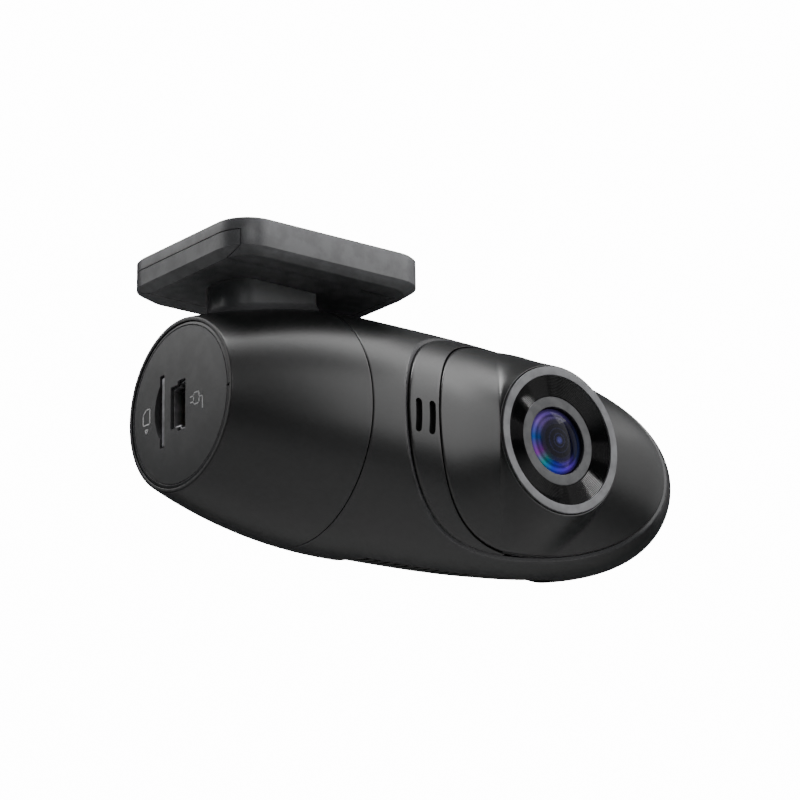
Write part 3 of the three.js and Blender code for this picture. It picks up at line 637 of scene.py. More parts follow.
GRAIN, WEAR, DUST = grain_group(), wear_group(), dust_group()


def new_material(name: str) -> tuple[bpy.types.Material, Shader, bpy.types.Node]:
    """Makes a material with an empty tree and a Principled shader.

    Args:
        name: name of the material.

    Returns:
        The material, its shader builder and the Principled node.
    """
    material = bpy.data.materials.new(name)
    material.use_nodes = True
    material.node_tree.nodes.clear()
    shader = Shader(material.node_tree)
    surface = shader.node("BsdfPrincipled")
    shader.node("OutputMaterial", {"Surface": surface.outputs[0]})
    return material, shader, surface


def grey(value: float) -> tuple[float, float, float, float]:
    """A neutral colour with a trace of blue."""
    return (value * 0.98, value * 0.99, value * 1.04, 1.0)


@dataclass(frozen=True)
class Moulding:
    """A moulded plastic finish.

    Args:
        name: name of the finish.
        tone: linear grey of its pigment.
        rough: its roughness.
        grain: features of the grain per metre.
        depth: strength of the grain.
        rub: how far rubbed edges lighten.
        dust: how much dust lies on it.
        coat: weight of a clear top coat.
    """

    name: str
    tone: float
    rough: float
    grain: float = 7000.0
    depth: float = 0.25
    rub: float = 0.5
    dust: float = 0.25
    coat: float = 0.0

    def material(self) -> bpy.types.Material:
        """Builds the finish as a material.

        Returns:
            The material.
        """
        material, shader, surface = new_material(self.name)
        grain = shader.node("Group", {"Size": self.grain}, node_tree=GRAIN)
        polish = shader.node("Group", {"Amount": self.rub}, node_tree=WEAR).outputs[0]
        dust = shader.node("Group", {"Amount": self.dust}, node_tree=DUST).outputs[0]
        pigment = shader.mix(grain.outputs["Drift"], grey(self.tone * 0.95), grey(self.tone * 1.05))
        flecks = shader.math("MULTIPLY", grain.outputs["Speckle"], 0.1)
        flecked = shader.mix(flecks, pigment, grey(self.tone * 1.7))
        rubbed = shader.mix(polish, flecked, grey(self.tone * 2.6 + 0.01))
        dusty = shader.mix(dust, rubbed, grey(0.22))
        rough = shader.math("ADD", shader.math("MULTIPLY", grain.outputs["Speckle"], 0.06), self.rough - 0.03)
        rough = shader.math("SUBTRACT", rough, shader.math("MULTIPLY", polish, 0.12))
        rough = shader.math("ADD", rough, shader.math("MULTIPLY", dust, 0.3), clamp=True)
        bump = shader.node("Bump", {"Strength": self.depth, "Distance": 0.03 * MM,
                                    "Height": grain.outputs["Height"]})
        shader.feed(surface, {"Base Color": dusty, "Roughness": rough, "Normal": bump.outputs[0],
                              "IOR": 1.5, "Coat Weight": self.coat, "Coat Roughness": 0.12})
        return material


@dataclass(frozen=True)
class Metal:
    """A bare, plated or anodised metal finish.

    Args:
        name: name of the finish.
        colour: linear colour.
        rough: its roughness.
        metallic: 1 for bare metal, less for paint with flakes.
        scratches: strength of its fine scratches.
    """

    name: str
    colour: Point
    rough: float
    metallic: float = 1.0
    scratches: float = 0.3

    def material(self) -> bpy.types.Material:
        """Builds the finish as a material.

        Returns:
            The material.
        """
        material, shader, surface = new_material(self.name)
        grain = shader.node("Group", {"Size": 9000.0}, node_tree=GRAIN)
        polish = shader.node("Group", {"Amount": 0.6}, node_tree=WEAR).outputs[0]
        place = shader.node("Mapping", {"Vector": shader.object_place(), "Scale": (9000.0, 500.0, 9000.0)})
        lines = shader.node("TexNoise", {"Vector": place.outputs[0], "Scale": 1.0, "Detail": 2.0}).outputs[0]
        dark = (*[c * 0.8 for c in self.colour], 1.0)
        light = (*[min(1.0, c * 1.15) for c in self.colour], 1.0)
        tone = shader.mix(grain.outputs["Drift"], dark, light)
        bright = (*[min(1.0, c * 1.6 + 0.05) for c in self.colour], 1.0)
        tone = shader.mix(polish, tone, bright)
        scored = shader.math("MULTIPLY", lines, self.scratches * 0.3)
        rough = shader.math("ADD", scored, self.rough, clamp=True)
        bump = shader.node("Bump", {"Strength": self.scratches, "Distance": 0.00001, "Height": lines})
        shader.feed(surface, {"Base Color": tone, "Roughness": rough, "Normal": bump.outputs[0],
                              "Metallic": self.metallic})
        return material


# tints of the painted reflection of the coating, by share of a turn anticlockwise from the port side, seen from in
# front
PAINTED_REFLECTION_BLUE = (0.02, 0.16, 0.60, 1)
PAINTED_REFLECTION_TINTS = (
    (0.09, (0.45, 0.10, 0.65, 1)), (0.15, (0.03, 0.50, 0.48, 1)), (0.22, (0.05, 0.08, 0.90, 1)),
    (0.34, (0.16, 0.05, 0.70, 1)), (0.43, (0.02, 0.03, 0.10, 1)), (0.62, (0.01, 0.01, 0.03, 1)),
    (0.78, (0.12, 0.08, 0.32, 1)), (0.9, (0.30, 0.16, 0.70, 1)),
)


@dataclass(frozen=True)
class GlassWithPaintedReflection:
    """Lens glass with a painted reflection: the coating's coloured crescents round fine rings are set in its
    colour and made to glow.

    Args:
        name: name of the finish.
        x: lens axis place, in millimetres from the port end.
        radius: radius over which the crescents are spread.
        strength: how bright the painted reflection and its glow look.
        clear: transmission of the glass.
    """

    name: str
    x: float
    radius: float
    strength: float
    clear: float

    def material(self) -> bpy.types.Material:
        """Builds the glass with a painted reflection, its tints set round the lens axis and its rings by distance
        from it, glowing by emission.

        Returns:
            The material.
        """
        material, shader, surface = new_material(self.name)
        centre = DATUM.metres(np.array([self.x, 0.0, 0.0]))
        place = shader.node("Mapping", {"Vector": shader.object_place(), "Location": tuple(-centre)})
        x, _, z = shader.node("SeparateXYZ", {0: place.outputs[0]}).outputs
        scale = 1 / (self.radius * MM)
        across = shader.math("MULTIPLY", x, scale)
        upward = shader.math("MULTIPLY", z, scale)
        out = shader.math("SQRT", shader.math("ADD", shader.math("MULTIPLY", across, across),
                                              shader.math("MULTIPLY", upward, upward)))
        turn = shader.math("ADD", shader.math("DIVIDE", shader.math("ARCTAN2", upward, across), TAU), 0.5)
        reflection_hue = shader.node("ValToRGB", {"Fac": turn})
        stops = reflection_hue.color_ramp.elements
        stops[0].color = stops[1].color = PAINTED_REFLECTION_BLUE
        for spot, tint in PAINTED_REFLECTION_TINTS:
            stops.new(spot).color = tint
        ring = shader.math("MULTIPLY", shader.ramp(out, 0.5, 0.95), shader.ramp(out, 1.03, 0.92))
        waves = shader.math("SINE", shader.math("MULTIPLY", out, 38.0))
        bands = shader.math("ADD", shader.math("MULTIPLY", waves, 0.3), 0.7)
        mask = shader.math("MULTIPLY", shader.math("MULTIPLY", ring, bands), self.strength, clamp=True)
        steps = shader.math("MULTIPLY", shader.ramp(waves, 0.5, 1.0), shader.ramp(out, 0.75, 0.15))
        deep = shader.mix(shader.math("MULTIPLY", steps, self.strength), (0.003, 0.003, 0.008, 1),
                          (0.02, 0.022, 0.06, 1))
        # painted reflection: a lighter purple-blue pupil in the middle of the glass
        pupil_reflection = shader.mix(shader.math("MULTIPLY", shader.ramp(out, 0.16, 0.03), self.strength), deep,
                           (0.07, 0.07, 0.3, 1))
        colour = shader.mix(mask, pupil_reflection, reflection_hue.outputs[0])
        # the painted reflection colour also feeds emission, so the glass glows though it is no lamp
        shader.feed(surface, {
            "Base Color": colour, "Emission Color": colour, "Emission Strength": 0.9 * self.strength,
            "Roughness": 0.03, "Transmission Weight": self.clear, "IOR": 1.2, "Specular IOR Level": 0.08})
        return material


class Palette:
    """Every finish of the camera, built once."""

    def __init__(self) -> None:
        """Builds the finishes."""
        made = [
            Moulding("shell_plastic", 0.0065, 0.36, depth=0.2, dust=0.03, rub=0.3),
            Moulding("panel_plastic", 0.006, 0.33, depth=0.15, dust=0.03, rub=0.3),
            Moulding("mount_plastic", 0.075, 0.4, depth=0.1, dust=0.0, rub=0.2),
            Moulding("cap_plastic", 0.03, 0.42, grain=7000.0, depth=0.12, dust=0.0, rub=0.2),
            Moulding("black_plastic", 0.006, 0.38, depth=0.15, dust=0.1),
            # lighter copy of the shell plastic for the seam's lip: a painted highlight
            Moulding("lip_painted_highlight", 0.03, 0.3, depth=0.1, dust=0.0, rub=0.3),
            Moulding("vent_black", 0.0012, 0.6, depth=0.1, dust=0.0, rub=0.1),
            Moulding("groove_black", 0.003, 0.12, depth=0.05, dust=0.0, rub=0.0),
            # lighter grey so the card's edge shows as a bright line in the slot: a painted highlight
            Moulding("card_grey_painted_highlight", 0.16, 0.4, depth=0.15, dust=0.0),
            # near-black for sheets set behind gaps and slots, painting the shade there
            Moulding("painted_shade_black", 0.002, 0.6, depth=0.1, dust=0.0, rub=0.1),
            Moulding("chip_resin", 0.02, 0.55, dust=0.1),
            Moulding("soft_rubber", 0.018, 0.8, depth=0.5),
            Moulding("foam_tape", 0.3, 0.85, grain=2600.0, depth=0.9, dust=0.0),
            Moulding("clear_plastic", 0.6, 0.25, depth=0.1, dust=0.0),
            Metal("ring_paint", (0.085, 0.086, 0.09), 0.36, metallic=0.5, scratches=0.2),
            Metal("dark_ring_paint", (0.022, 0.023, 0.025), 0.34, metallic=0.3, scratches=0.2),
            Metal("bright_metal", (0.62, 0.62, 0.63), 0.25),
            # darkened metal for the port shell, painting the shade inside the charging port
            Metal("port_metal_painted_shade", (0.16, 0.16, 0.165), 0.34),
            Metal("contact_gold", (0.75, 0.52, 0.2), 0.25),
            Metal("solder_green", (0.02, 0.12, 0.06), 0.4, metallic=0.0),
            Metal("ribbon_film", (0.35, 0.16, 0.03), 0.4, metallic=0.0),
            Metal("white_print", (0.62, 0.62, 0.62), 0.5, metallic=0.0, scratches=0.1),
            GlassWithPaintedReflection("front_glass_painted_reflection", LENS_X, 5.3, 0.6, 0.5),
            GlassWithPaintedReflection("inner_glass_painted_reflection", LENS_X, 4.4, 0.6, 0.2),
        ]
        self.by_name = {finish.name: finish.material() for finish in made}

    def __getitem__(self, name: str) -> bpy.types.Material:
        """The material of a finish."""
        return self.by_name[name]


# ---- geometry nodes ------------------------------------------------------------------------------
class NodeShape(TreeBuilder):
    """A Geometry Nodes tree that makes one piece from named inputs."""

    def __init__(self, name: str, sizes: dict[str, float | int], finish: bpy.types.Material) -> None:
        """Starts the tree.

        Args:
            name: name of the piece and of its tree.
            sizes: named inputs and their values; whole numbers become integer inputs.
            finish: material that the tree sets on its result.
        """
        self.name, self.sizes, self.finish = name, sizes, finish
        super().__init__(bpy.data.node_groups.new(name + "_nodes", "GeometryNodeTree"))
        self.tree.interface.new_socket("Geometry", in_out="OUTPUT", socket_type="NodeSocketGeometry")
        self.sockets = {
            label: self.tree.interface.new_socket(
                label, in_out="INPUT",
                socket_type="NodeSocketInt" if isinstance(value, int) else "NodeSocketFloat").identifier
            for label, value in sizes.items()}
        self.start = self.tree.nodes.new("NodeGroupInput")

    def size(self, label: str) -> bpy.types.NodeSocket:
        """The output that carries a named input."""
        return self.start.outputs[label]

    def vector(self, parts: dict[int, object]) -> bpy.types.NodeSocket:
        """A vector from its X, Y and Z parts, given by number."""
        return self.node("CombineXYZ", parts).outputs[0]

    def places(self) -> Sequence[bpy.types.NodeSocket]:
        """X, Y and Z of each point."""
        return self.node("SeparateXYZ", {0: self.node("GeometryNodeInputPosition").outputs[0]}).outputs

    def moved(self, geometry: bpy.types.NodeSocket, place: np.ndarray) -> bpy.types.NodeSocket:
        """Geometry shifted by a place."""
        shift = {"Geometry": geometry, "Translation": tuple(place)}
        return self.node("GeometryNodeTransform", shift).outputs[0]

    def bent(self, geometry: bpy.types.NodeSocket, *parts: bpy.types.NodeSocket) -> bpy.types.NodeSocket:
        """Geometry whose points are set to new X, Y and Z parts."""
        place = self.vector(dict(enumerate(parts)))
        return self.node("GeometryNodeSetPosition", {"Geometry": geometry, "Position": place}).outputs[0]

    def joined(self, *parts: bpy.types.NodeSocket) -> bpy.types.NodeSocket:
        """Joins geometries into one.

        Args:
            *parts: the geometries.

        Returns:
            The joined geometry.
        """
        made = self.node("GeometryNodeJoinGeometry")
        for part in parts:
            self.tree.links.new(part, made.inputs[0])
        return made.outputs[0]

    def welded(self, geometry: bpy.types.NodeSocket, distance: float = 0.001) -> bpy.types.NodeSocket:
        """Geometry with its doubles merged."""
        weld = {"Geometry": geometry, "Distance": distance}
        return self.node("GeometryNodeMergeByDistance", weld).outputs[0]

    def row_of_bars(self, count: str, size: dict[int, object], step: dict[int, object],
                    start: dict[int, object] | None = None,
                    points: tuple[int, int, int] = (2, 2, 2)) -> bpy.types.NodeSocket:
        """Spreads copies of a bar along a line.

        Args:
            count: label of the input that holds their number.
            size: X, Y and Z sizes of the bar, by number.
            step: distance from one bar to the next, by number.
            start: place of the first bar, by number.
            points: points along each side of the bar.

        Returns:
            The bars as instances.
        """
        x, y, z = points
        bar = self.node("GeometryNodeMeshCube", {"Size": self.vector(size), "Vertices X": x, "Vertices Y": y,
                                                 "Vertices Z": z})
        line = self.node("GeometryNodeMeshLine", {"Count": self.size(count), "Offset": self.vector(step),
                                                  "Start Location": self.vector(start or {})})
        return self.node("GeometryNodeInstanceOnPoints", {"Points": line.outputs[0],
                                                          "Instance": bar.outputs[0]}).outputs[0]

    def in_metres(self, geometry: bpy.types.NodeSocket) -> bpy.types.NodeSocket:
        """Turns geometry in body millimetres into frame metres."""
        return self.node("GeometryNodeTransform", {
            "Geometry": geometry, "Scale": (MM, MM, MM),
            "Translation": tuple(DATUM.metres(np.zeros(3)))}).outputs[0]

    def build(self, geometry: bpy.types.NodeSocket) -> bpy.types.Object:
        """Ends the tree, evaluates it and returns a plain mesh piece.

        Args:
            geometry: the geometry to end with, in metres.

        Returns:
            The piece, a plain mesh.
        """
        real = self.node("GeometryNodeRealizeInstances", {0: geometry})
        dressed = self.node("GeometryNodeSetMaterial", {0: real.outputs[0], "Material": self.finish})
        end = self.tree.nodes.new("NodeGroupOutput")
        self.tree.links.new(dressed.outputs[0], end.inputs[0])
        piece = bpy.data.objects.new(self.name, bpy.data.meshes.new(self.name))
        bpy.context.scene.collection.objects.link(piece)
        change = piece.modifiers.new("nodes", "NODES")
        change.node_group = self.tree
        for label, value in self.sizes.items():
            change[self.sockets[label]] = value
        apply_modifiers(piece)
        return piece


@dataclass
class SubAssembly:
    """A group of pieces dressed from one palette.

    Args:
        palette: the finishes.
    """

    palette: Palette

    def fit(self, piece: bpy.types.Object, body: str, finish: str, slot: str, *nodes: str,
            edges: bool = True) -> None:
        """Dresses a finished piece in a finish of the palette and hands it over."""
        hand_over(piece, body, self.palette[finish], slot, *nodes, edges=edges)


# ---- mount ---------------------------------------------------------------------------------------
@dataclass
class Mount(SubAssembly):
    """Adhesive mount, the plate that slides out of it and the neck below.

    Args:
        start_x: port-side edge of the plate.
        length: plate length along the body.
        width: plate width.
        corner: plan radius of its corners.
        under_z: underside above the body's axis.
        thickness: height of the mount block.
        chamfer: width and height of the chamfer round the underside.
        layer: height of the sliding layer's seam over the underside.
        head: length of the sliding plate's head.
        tongue: width of its tongue.
        rail: how far its wings reach into the rails.
        seam: width of the seams that show.
        rail_end: wall between the tongue's end and the far edge.
        wing_z: height of the wings' underside over the plate's underside.
        edge: rounding of the plates' edges.
        top_edge: rounding of the block's top edge.
        pad_inset: how far the glue pad stays inside the plate's edge.
        neck: port-side end, far end and half width of the neck.
        neck_round: plan radius of the neck's rounded side.
        neck_flare: radius of the hollow where the neck meets the sleeve.
        neck_steps: steps of that hollow.
    """

    start_x: float = -0.1
    length: float = 36.7
    width: float = 31.0
    corner: float = 5.5
    under_z: float = 20.75
    thickness: float = 5.6
    chamfer: tuple[float, float] = (1.5, 1.1)
    layer: float = 3.7
    head: float = 1.6
    tongue: float = 20.5
    rail: float = 1.75
    seam: float = 0.14
    rail_end: float = 3.1
    wing_z: float = 1.75
    edge: float = 0.16
    top_edge: float = 0.25
    pad_inset: float = 2.5
    neck: tuple[float, float, float] = (6.7, 22.35, 5.0)
    neck_round: float = 4.0
    neck_flare: float = 1.3
    neck_steps: int = 12

    def outline(self, inset: float = 0.0) -> list[tuple[float, float]]:
        """Plan outline of the plate.

        Args:
            inset: how far inside the plate's edge.

        Returns:
            The outline's points.
        """
        half = self.width / 2 - inset
        r = self.corner - inset
        return round_rectangle(self.start_x + inset, -half, self.start_x + self.length - inset, half, [r] * 4)

    def block(self, name: str) -> bpy.types.Object:
        """The whole mount block with its chamfered underside and softened top edge.

        Args:
            name: name of the piece.

        Returns:
            The closed block.
        """
        wide, high = self.chamfer
        top = self.under_z + self.thickness
        levels = [(self.under_z, wide), (self.under_z + high, 0.0), (top - self.top_edge, 0.0),
                  (top, self.top_edge)]
        return stack(name, self.outline(), levels, Axis.UP)

    def slide_tools(self, clear: float) -> list[bpy.types.Object]:
        """Tools for the space of the sliding plate, grown by a clearance.

        Args:
            clear: how far the space is grown.

        Returns:
            Three closed tools that overlap.
        """
        far, half = 60.0, self.tongue / 2 + clear
        top = self.under_z + self.layer - self.seam + clear
        end = self.start_x + self.length - self.rail_end - self.seam + clear
        ledge = self.under_z + self.wing_z + self.seam - clear
        return [
            box_piece("head_tool", (-far, -far, 0), (self.start_x + self.head - self.seam + clear, far, top)),
            box_piece("tongue_tool", (-far + 1, -half, 1), (end, half, top - 0.0005)),
            box_piece("wing_tool", (-far + 2, -half - self.rail, ledge),
                      (end - 0.0005, half + self.rail, top - 0.001)),
        ]

    def plates(self) -> None:
        """Fixed plate, sliding plate and glue pad."""
        plate = cut(self.block("fixed_mount_plate"), *self.slide_tools(self.seam))
        soften(plate, self.edge, 2)
        self.fit(clean(plate, sharp=18), "mount_base", "mount_plastic", "mount_plastic", "mount_plate")

        slide = self.block("sliding_plate")
        first, *others = self.slide_tools(0.0)
        space = cut(first, *others, join=True)
        keep = slide.modifiers.new("keep", "BOOLEAN")
        keep.operation, keep.object, keep.solver = "INTERSECT", space, "MANIFOLD"
        apply_modifiers(slide)
        bpy.data.objects.remove(space)
        soften(slide, self.edge, 2)
        self.fit(clean(slide, sharp=18), "bracket", "mount_plastic", "mount_plastic", "slide_plate")

        low, high = cad_corners("adhesive_pad")[:, 2]
        levels = [(low, 0.05), (low + 0.15, 0.0), (high - 0.12, 0.0), (high - 0.12, 0.25), (high, 0.3)]
        pad = stack("glue_pad", self.outline(self.pad_inset), levels, Axis.UP)
        self.fit(pad, "mount_base", "foam_tape", "foam_tape", "adhesive_pad")

    def neck_piece(self) -> None:
        """Neck with a hollow flare where it runs into the sleeve."""
        x0, x1, half = self.neck
        radii = [self.neck_round, 0.3, 0.3, self.neck_round]
        outline = np.array(round_rectangle(x0, -half, x1, half, radii, 24))
        ahead, behind = np.roll(outline, -1, 0), np.roll(outline, 1, 0)
        along = ahead - behind
        out = np.stack([along[:, 1], -along[:, 0]], -1)
        out /= np.maximum(np.linalg.norm(out, axis=1, keepdims=True), 1e-9)
        rings = []
        top = self.under_z - 0.05

        def ground(plan: np.ndarray) -> np.ndarray:
            """Height of the sleeve's surface under each point of a plan."""
            r = CURVE.radius(plan[:, 0])
            return np.sqrt(np.clip(r**2 - plan[:, 1] ** 2, 1, None))

        for k in range(self.neck_steps + 1):
            angle = math.pi / 2 * (1 - k / self.neck_steps)
            plan = outline + out * self.neck_flare * (1 - math.cos(angle))
            plan[:, 0] = np.minimum(plan[:, 0], x1)
            height = ground(plan) + self.neck_flare * (1 - math.sin(angle)) - 0.03
            rings.append(np.column_stack([plan, height]))
        for level in (0.3, 0.7, 1.0):
            last = rings[self.neck_steps]
            rings.append(np.column_stack([outline, last[:, 2] + (top - last[:, 2]) * level]))
        sunk = rings[0].copy()
        sunk[:, 2] -= 0.6
        rings.insert(0, sunk)
        neck = tube("mount_neck", rings)
        self.fit(neck, "bracket", "mount_plastic", "mount_plastic", "bracket_neck")

    def build(self) -> None:
        """Builds and dresses the mount."""
        self.plates()
        self.neck_piece()


# ---- port end ------------------------------------------------------------------------------------
@dataclass
class PortEnd(SubAssembly):
    """Sleeve, end cap, charging port, card and card slot.

    Args:
        mouth_r: radius of the sleeve's mouth.
        cap_r: radius of the end cap.
        bead: width of the raised bead round the cap.
        face_x: place of the cap's face.
        thickness: thickness of the cap.
        slot: middle Y, half height and half width of the card slot.
        scoop_r: radius of the finger scoop beside the slot.
        scoop_depth: its depth.
        wall: thickness of the sleeve.
        seat: place and radius of the sleeve's bore, and of the step that carries the cap.
        port_half: half lengths of the port's wide and narrow part, and its middle.
        port_y: the port's lens-side edge, its step and its far edge.
        notch: corners (y, z) of the small notch in the cap's rim.
        card_steps: steps of the card's notched side, in from its far corner.
    """

    mouth_r: float = 12.86
    cap_r: float = 12.8
    bead: float = 0.55
    face_x: float = 0.1
    thickness: float = 2.2
    slot: tuple[float, float, float] = (4.7, 5.75, 0.6)
    scoop_r: float = 7.0
    scoop_depth: float = 0.9
    wall: float = 2.0
    seat: tuple[float, float, float, float] = (4.1, 13.0, 2.6, 11.95)
    port_half: Point = (3.95, 3.35, -0.1)
    port_y: Point = (-1.45, 0.6, 2.45)
    notch: tuple[tuple[float, float], ...] = ((-13.2, -0.55), (-12.0, 0.0), (-13.2, 0.55))
    card_steps: tuple[tuple[float, float], ...] = (
        (0.0, 2.4), (1.0, 1.4), (4.6, 1.4), (5.4, 0.6), (6.4, 0.6), (7.0, 0.0))

    def sleeve(self) -> None:
        """Sleeve that carries the port-end half of the body's outline."""
        end = SEAM_X - SEAM_HALF
        xs = np.linspace(0.35, end - 0.3, 56)
        outer = [(x, float(CURVE.radius(x))) for x in xs]
        inner = [(x, float(CURVE.radius(x)) - self.wall) for x in np.linspace(end - 0.3, 8.0, 12)]
        bore_x, bore_r, step_x, step_r = self.seat
        profile = [(0.0, self.mouth_r, 0.06), (0.0, CURVE.port_r, 0.22), *outer,
                   (end, float(CURVE.radius(end)), 0.1), (end, float(CURVE.radius(end)) - self.wall), *inner,
                   (bore_x, bore_r), (bore_x, step_r), (step_x, step_r), (step_x, self.mouth_r)]
        sleeve = turned("port_sleeve", rounded(profile, 0.0), Axis.BODY, 192)
        self.fit(sleeve, "bracket", "shell_plastic", "body_plastic", "barrel_sleeve")

    def port_outline(self, grow: float) -> list[tuple[float, float]]:
        """Stepped outline of the charging port in (y, z), wide on the lens side.

        Args:
            grow: how far outside the opening.

        Returns:
            The outline's points.
        """
        wide, narrow, middle = self.port_half
        wide, narrow = wide + grow, narrow + grow
        y0, y1, y2 = self.port_y
        y0, y1, y2 = y0 - grow, y1 + grow, y2 + grow
        corners = [(y0, -wide), (y1, -wide), (y1, -narrow), (y2, -narrow), (y2, narrow), (y1, narrow),
                   (y1, wide), (y0, wide)]
        return rounded([(y, z + middle) for y, z in corners], 0.25, 3)

    def end_cap(self) -> None:
        """Round end cap with its slot, finger scoop and port opening."""
        back = self.face_x + self.thickness
        line = self.cap_r - self.bead
        profile = [(self.face_x, 0.0), (self.face_x, line - 0.1, 0.02), (self.face_x + 0.12, line, 0.02),
                   (self.face_x, line + 0.1, 0.04), (self.face_x + 0.1, self.cap_r, 0.1), (back, self.cap_r),
                   (back, 0.0)]
        cap = turned("port_cap", rounded(profile, 0.0, closed=False), Axis.BODY, 192)
        y, half_z, half_y = self.slot
        outline = round_rectangle(y - half_y, -half_z, y + half_y, half_z, [0.25] * 4, 6)
        slot = slab("slot_tool", outline, -1, back + 1, Axis.BODY)
        scoop_y = y + half_y + 1.4 - self.scoop_r
        reach = math.acos((y + half_y - 0.3 - scoop_y) / self.scoop_r)
        arc = [(scoop_y + self.scoop_r * math.cos(a), self.scoop_r * math.sin(a))
               for a in np.linspace(-reach, reach, 40)]
        scoop = slab("scoop_tool", arc, -1, self.face_x + self.scoop_depth, Axis.BODY)
        port = slab("port_tool", self.port_outline(0.0), -1, back + 1, Axis.BODY)
        notch = slab("notch_tool", self.notch, -1, self.face_x + 0.5, Axis.BODY)
        cut(cap, slot, scoop, port, notch)
        soften(cap, 0.07, 2, 40)
        self.fit(clean(cap, sharp=18), "camera", "cap_plastic", "cap_plastic", "end_cap")

    def port(self) -> None:
        """Metal shell of the charging port with its contact tongue."""
        front, wall = self.face_x + 0.45, 0.32
        shell = slab("port_shell", self.port_outline(-0.1), front, front + 9, Axis.BODY)
        cut(shell, slab("shell_tool", self.port_outline(-0.1 - wall), front - 1, front + 8, Axis.BODY))
        soften(shell, 0.08, 2, 40)
        # the shell takes the darkened metal that paints the shade inside the port
        self.fit(clean(shell), "camera", "port_metal_painted_shade", "bright_metal", "power_socket")
        tongue = slab("port_tongue", round_rectangle(-0.25, -2.75, 0.65, 2.55, [0.12] * 4, 3), front + 0.9,
                      front + 8.2, Axis.BODY)
        soften(tongue, 0.1, 2)
        self.fit(clean(tongue), "camera", "black_plastic", "black_plastic")
        contacts = self.contacts("port_contacts", front + 1.2, 0.72, 5, 0.8, 0.34, 5.0)
        self.fit(contacts, "camera", "contact_gold", "bright_metal")

    def contacts(self, name: str, x: float, y: float, count: int, pitch: float, width: float,
                 length: float) -> bpy.types.Object:
        """A row of gold contacts, spread along Z by a node tree.

        Args:
            name: name of the piece.
            x: where the contacts start on the body.
            y: their place across.
            count: their number.
            pitch: distance between them.
            width: width of one.
            length: length of one.

        Returns:
            The row as one piece.
        """
        shape = NodeShape(name, {
            "Count": count, "Pitch": pitch * MM, "Width": width * MM, "Length": length * MM,
            "Thickness": 0.12 * MM}, self.palette["contact_gold"])
        size = {0: shape.size("Length"), 1: shape.size("Thickness"), 2: shape.size("Width")}
        row = shape.row_of_bars("Count", size, {2: shape.size("Pitch")})
        start = DATUM.metres(np.array([x + length / 2, y, -pitch * (count - 1) / 2 - 0.1]))
        return shape.build(shape.moved(row, start))

    def card(self) -> None:
        """Memory card with its notched outline, grip ridge and contacts."""
        low, high = cad_corners("memory_card")
        steps = [(high[0] - x, high[2] - z) for x, z in self.card_steps]
        outline = [(low[0], low[2]), (high[0], low[2]), *steps, (low[0], high[2])]
        card = slab("storage_card", rounded(outline, 0.3, 4), low[1], high[1] - 0.1, Axis.LENS)
        ridge = slab("ridge_tool", round_rectangle(low[0] + 0.1, low[2] + 0.6, low[0] + 1.3, high[2] - 0.6,
                                                   [0.4] * 4, 4), high[1] - 0.3, high[1], Axis.LENS)
        cut(card, ridge, join=True)
        soften(card, 0.06, 2, 40)
        # the card takes the lightened grey that paints the bright line at its edge
        self.fit(clean(card, sharp=18), "memory_card", "card_grey_painted_highlight", "chip_resin", "memory_card")
        pins = self.contacts("card_contacts", high[0] - 3.6, low[1] - 0.01, 8, 1.1, 0.75, 3.0)
        self.fit(pins, "memory_card", "contact_gold", "bright_metal")

    def sign(self, name: str, strokes: Sequence[Sequence[tuple[float, float]]], width: float) -> None:
        """A printed sign on the cap's face, each stroke a thin line of (y, z) points.

        Args:
            name: name of the piece.
            strokes: the lines of the sign.
            width: width of a line.
        """
        points, faces = [], []
        for stroke in strokes:
            for (y0, z0), (y1, z1) in zip(stroke, stroke[1:]):
                along = np.array([y1 - y0, z1 - z0])
                along = along / np.linalg.norm(along) * width / 2
                side = np.array([-along[1], along[0]])
                a, b = np.array([y0, z0]) - along, np.array([y1, z1]) + along
                first = len(points)
                for x in (self.face_x - 0.015, self.face_x + 0.03):
                    points += [(x, *(a + side)), (x, *(b + side)), (x, *(b - side)), (x, *(a - side))]
                sides = grid_faces(2, 4, True, first)
                faces += [tuple(range(first, first + 4)), tuple(range(first + 7, first + 3, -1)), *sides]
        piece = clean(mesh_piece(name, np.array(points), faces), merge=0.0001)
        self.fit(piece, "camera", "white_print", "cap_plastic", edges=False)

    def signs(self) -> None:
        """Plain card and plug signs beside their openings."""
        card = [(8.0, -1.1), (8.0, 1.3), (9.0, 1.3), (9.8, 0.6), (9.8, -1.1), (8.0, -1.1)]
        arrow = [(8.5, -1.9), (9.3, -1.9), (8.9, -2.5), (8.5, -1.9)]
        self.sign("card_sign", [card, arrow], 0.2)
        plug = [(-5.0, -0.9), (-5.0, 0.9), (-3.6, 0.9), (-3.6, -0.9), (-5.0, -0.9)]
        prongs = [[(-3.6, 0.45), (-2.8, 0.45)], [(-3.6, -0.45), (-2.8, -0.45)]]
        lead = [(-5.0, 0.0), (-5.9, 0.0), (-5.9, -1.9)]
        self.sign("plug_sign", [plug, *prongs, lead], 0.2)

    def build(self) -> None:
        """Builds and dresses the port end."""
        self.sleeve()
        self.end_cap()
        self.port()
        self.card()
        self.signs()


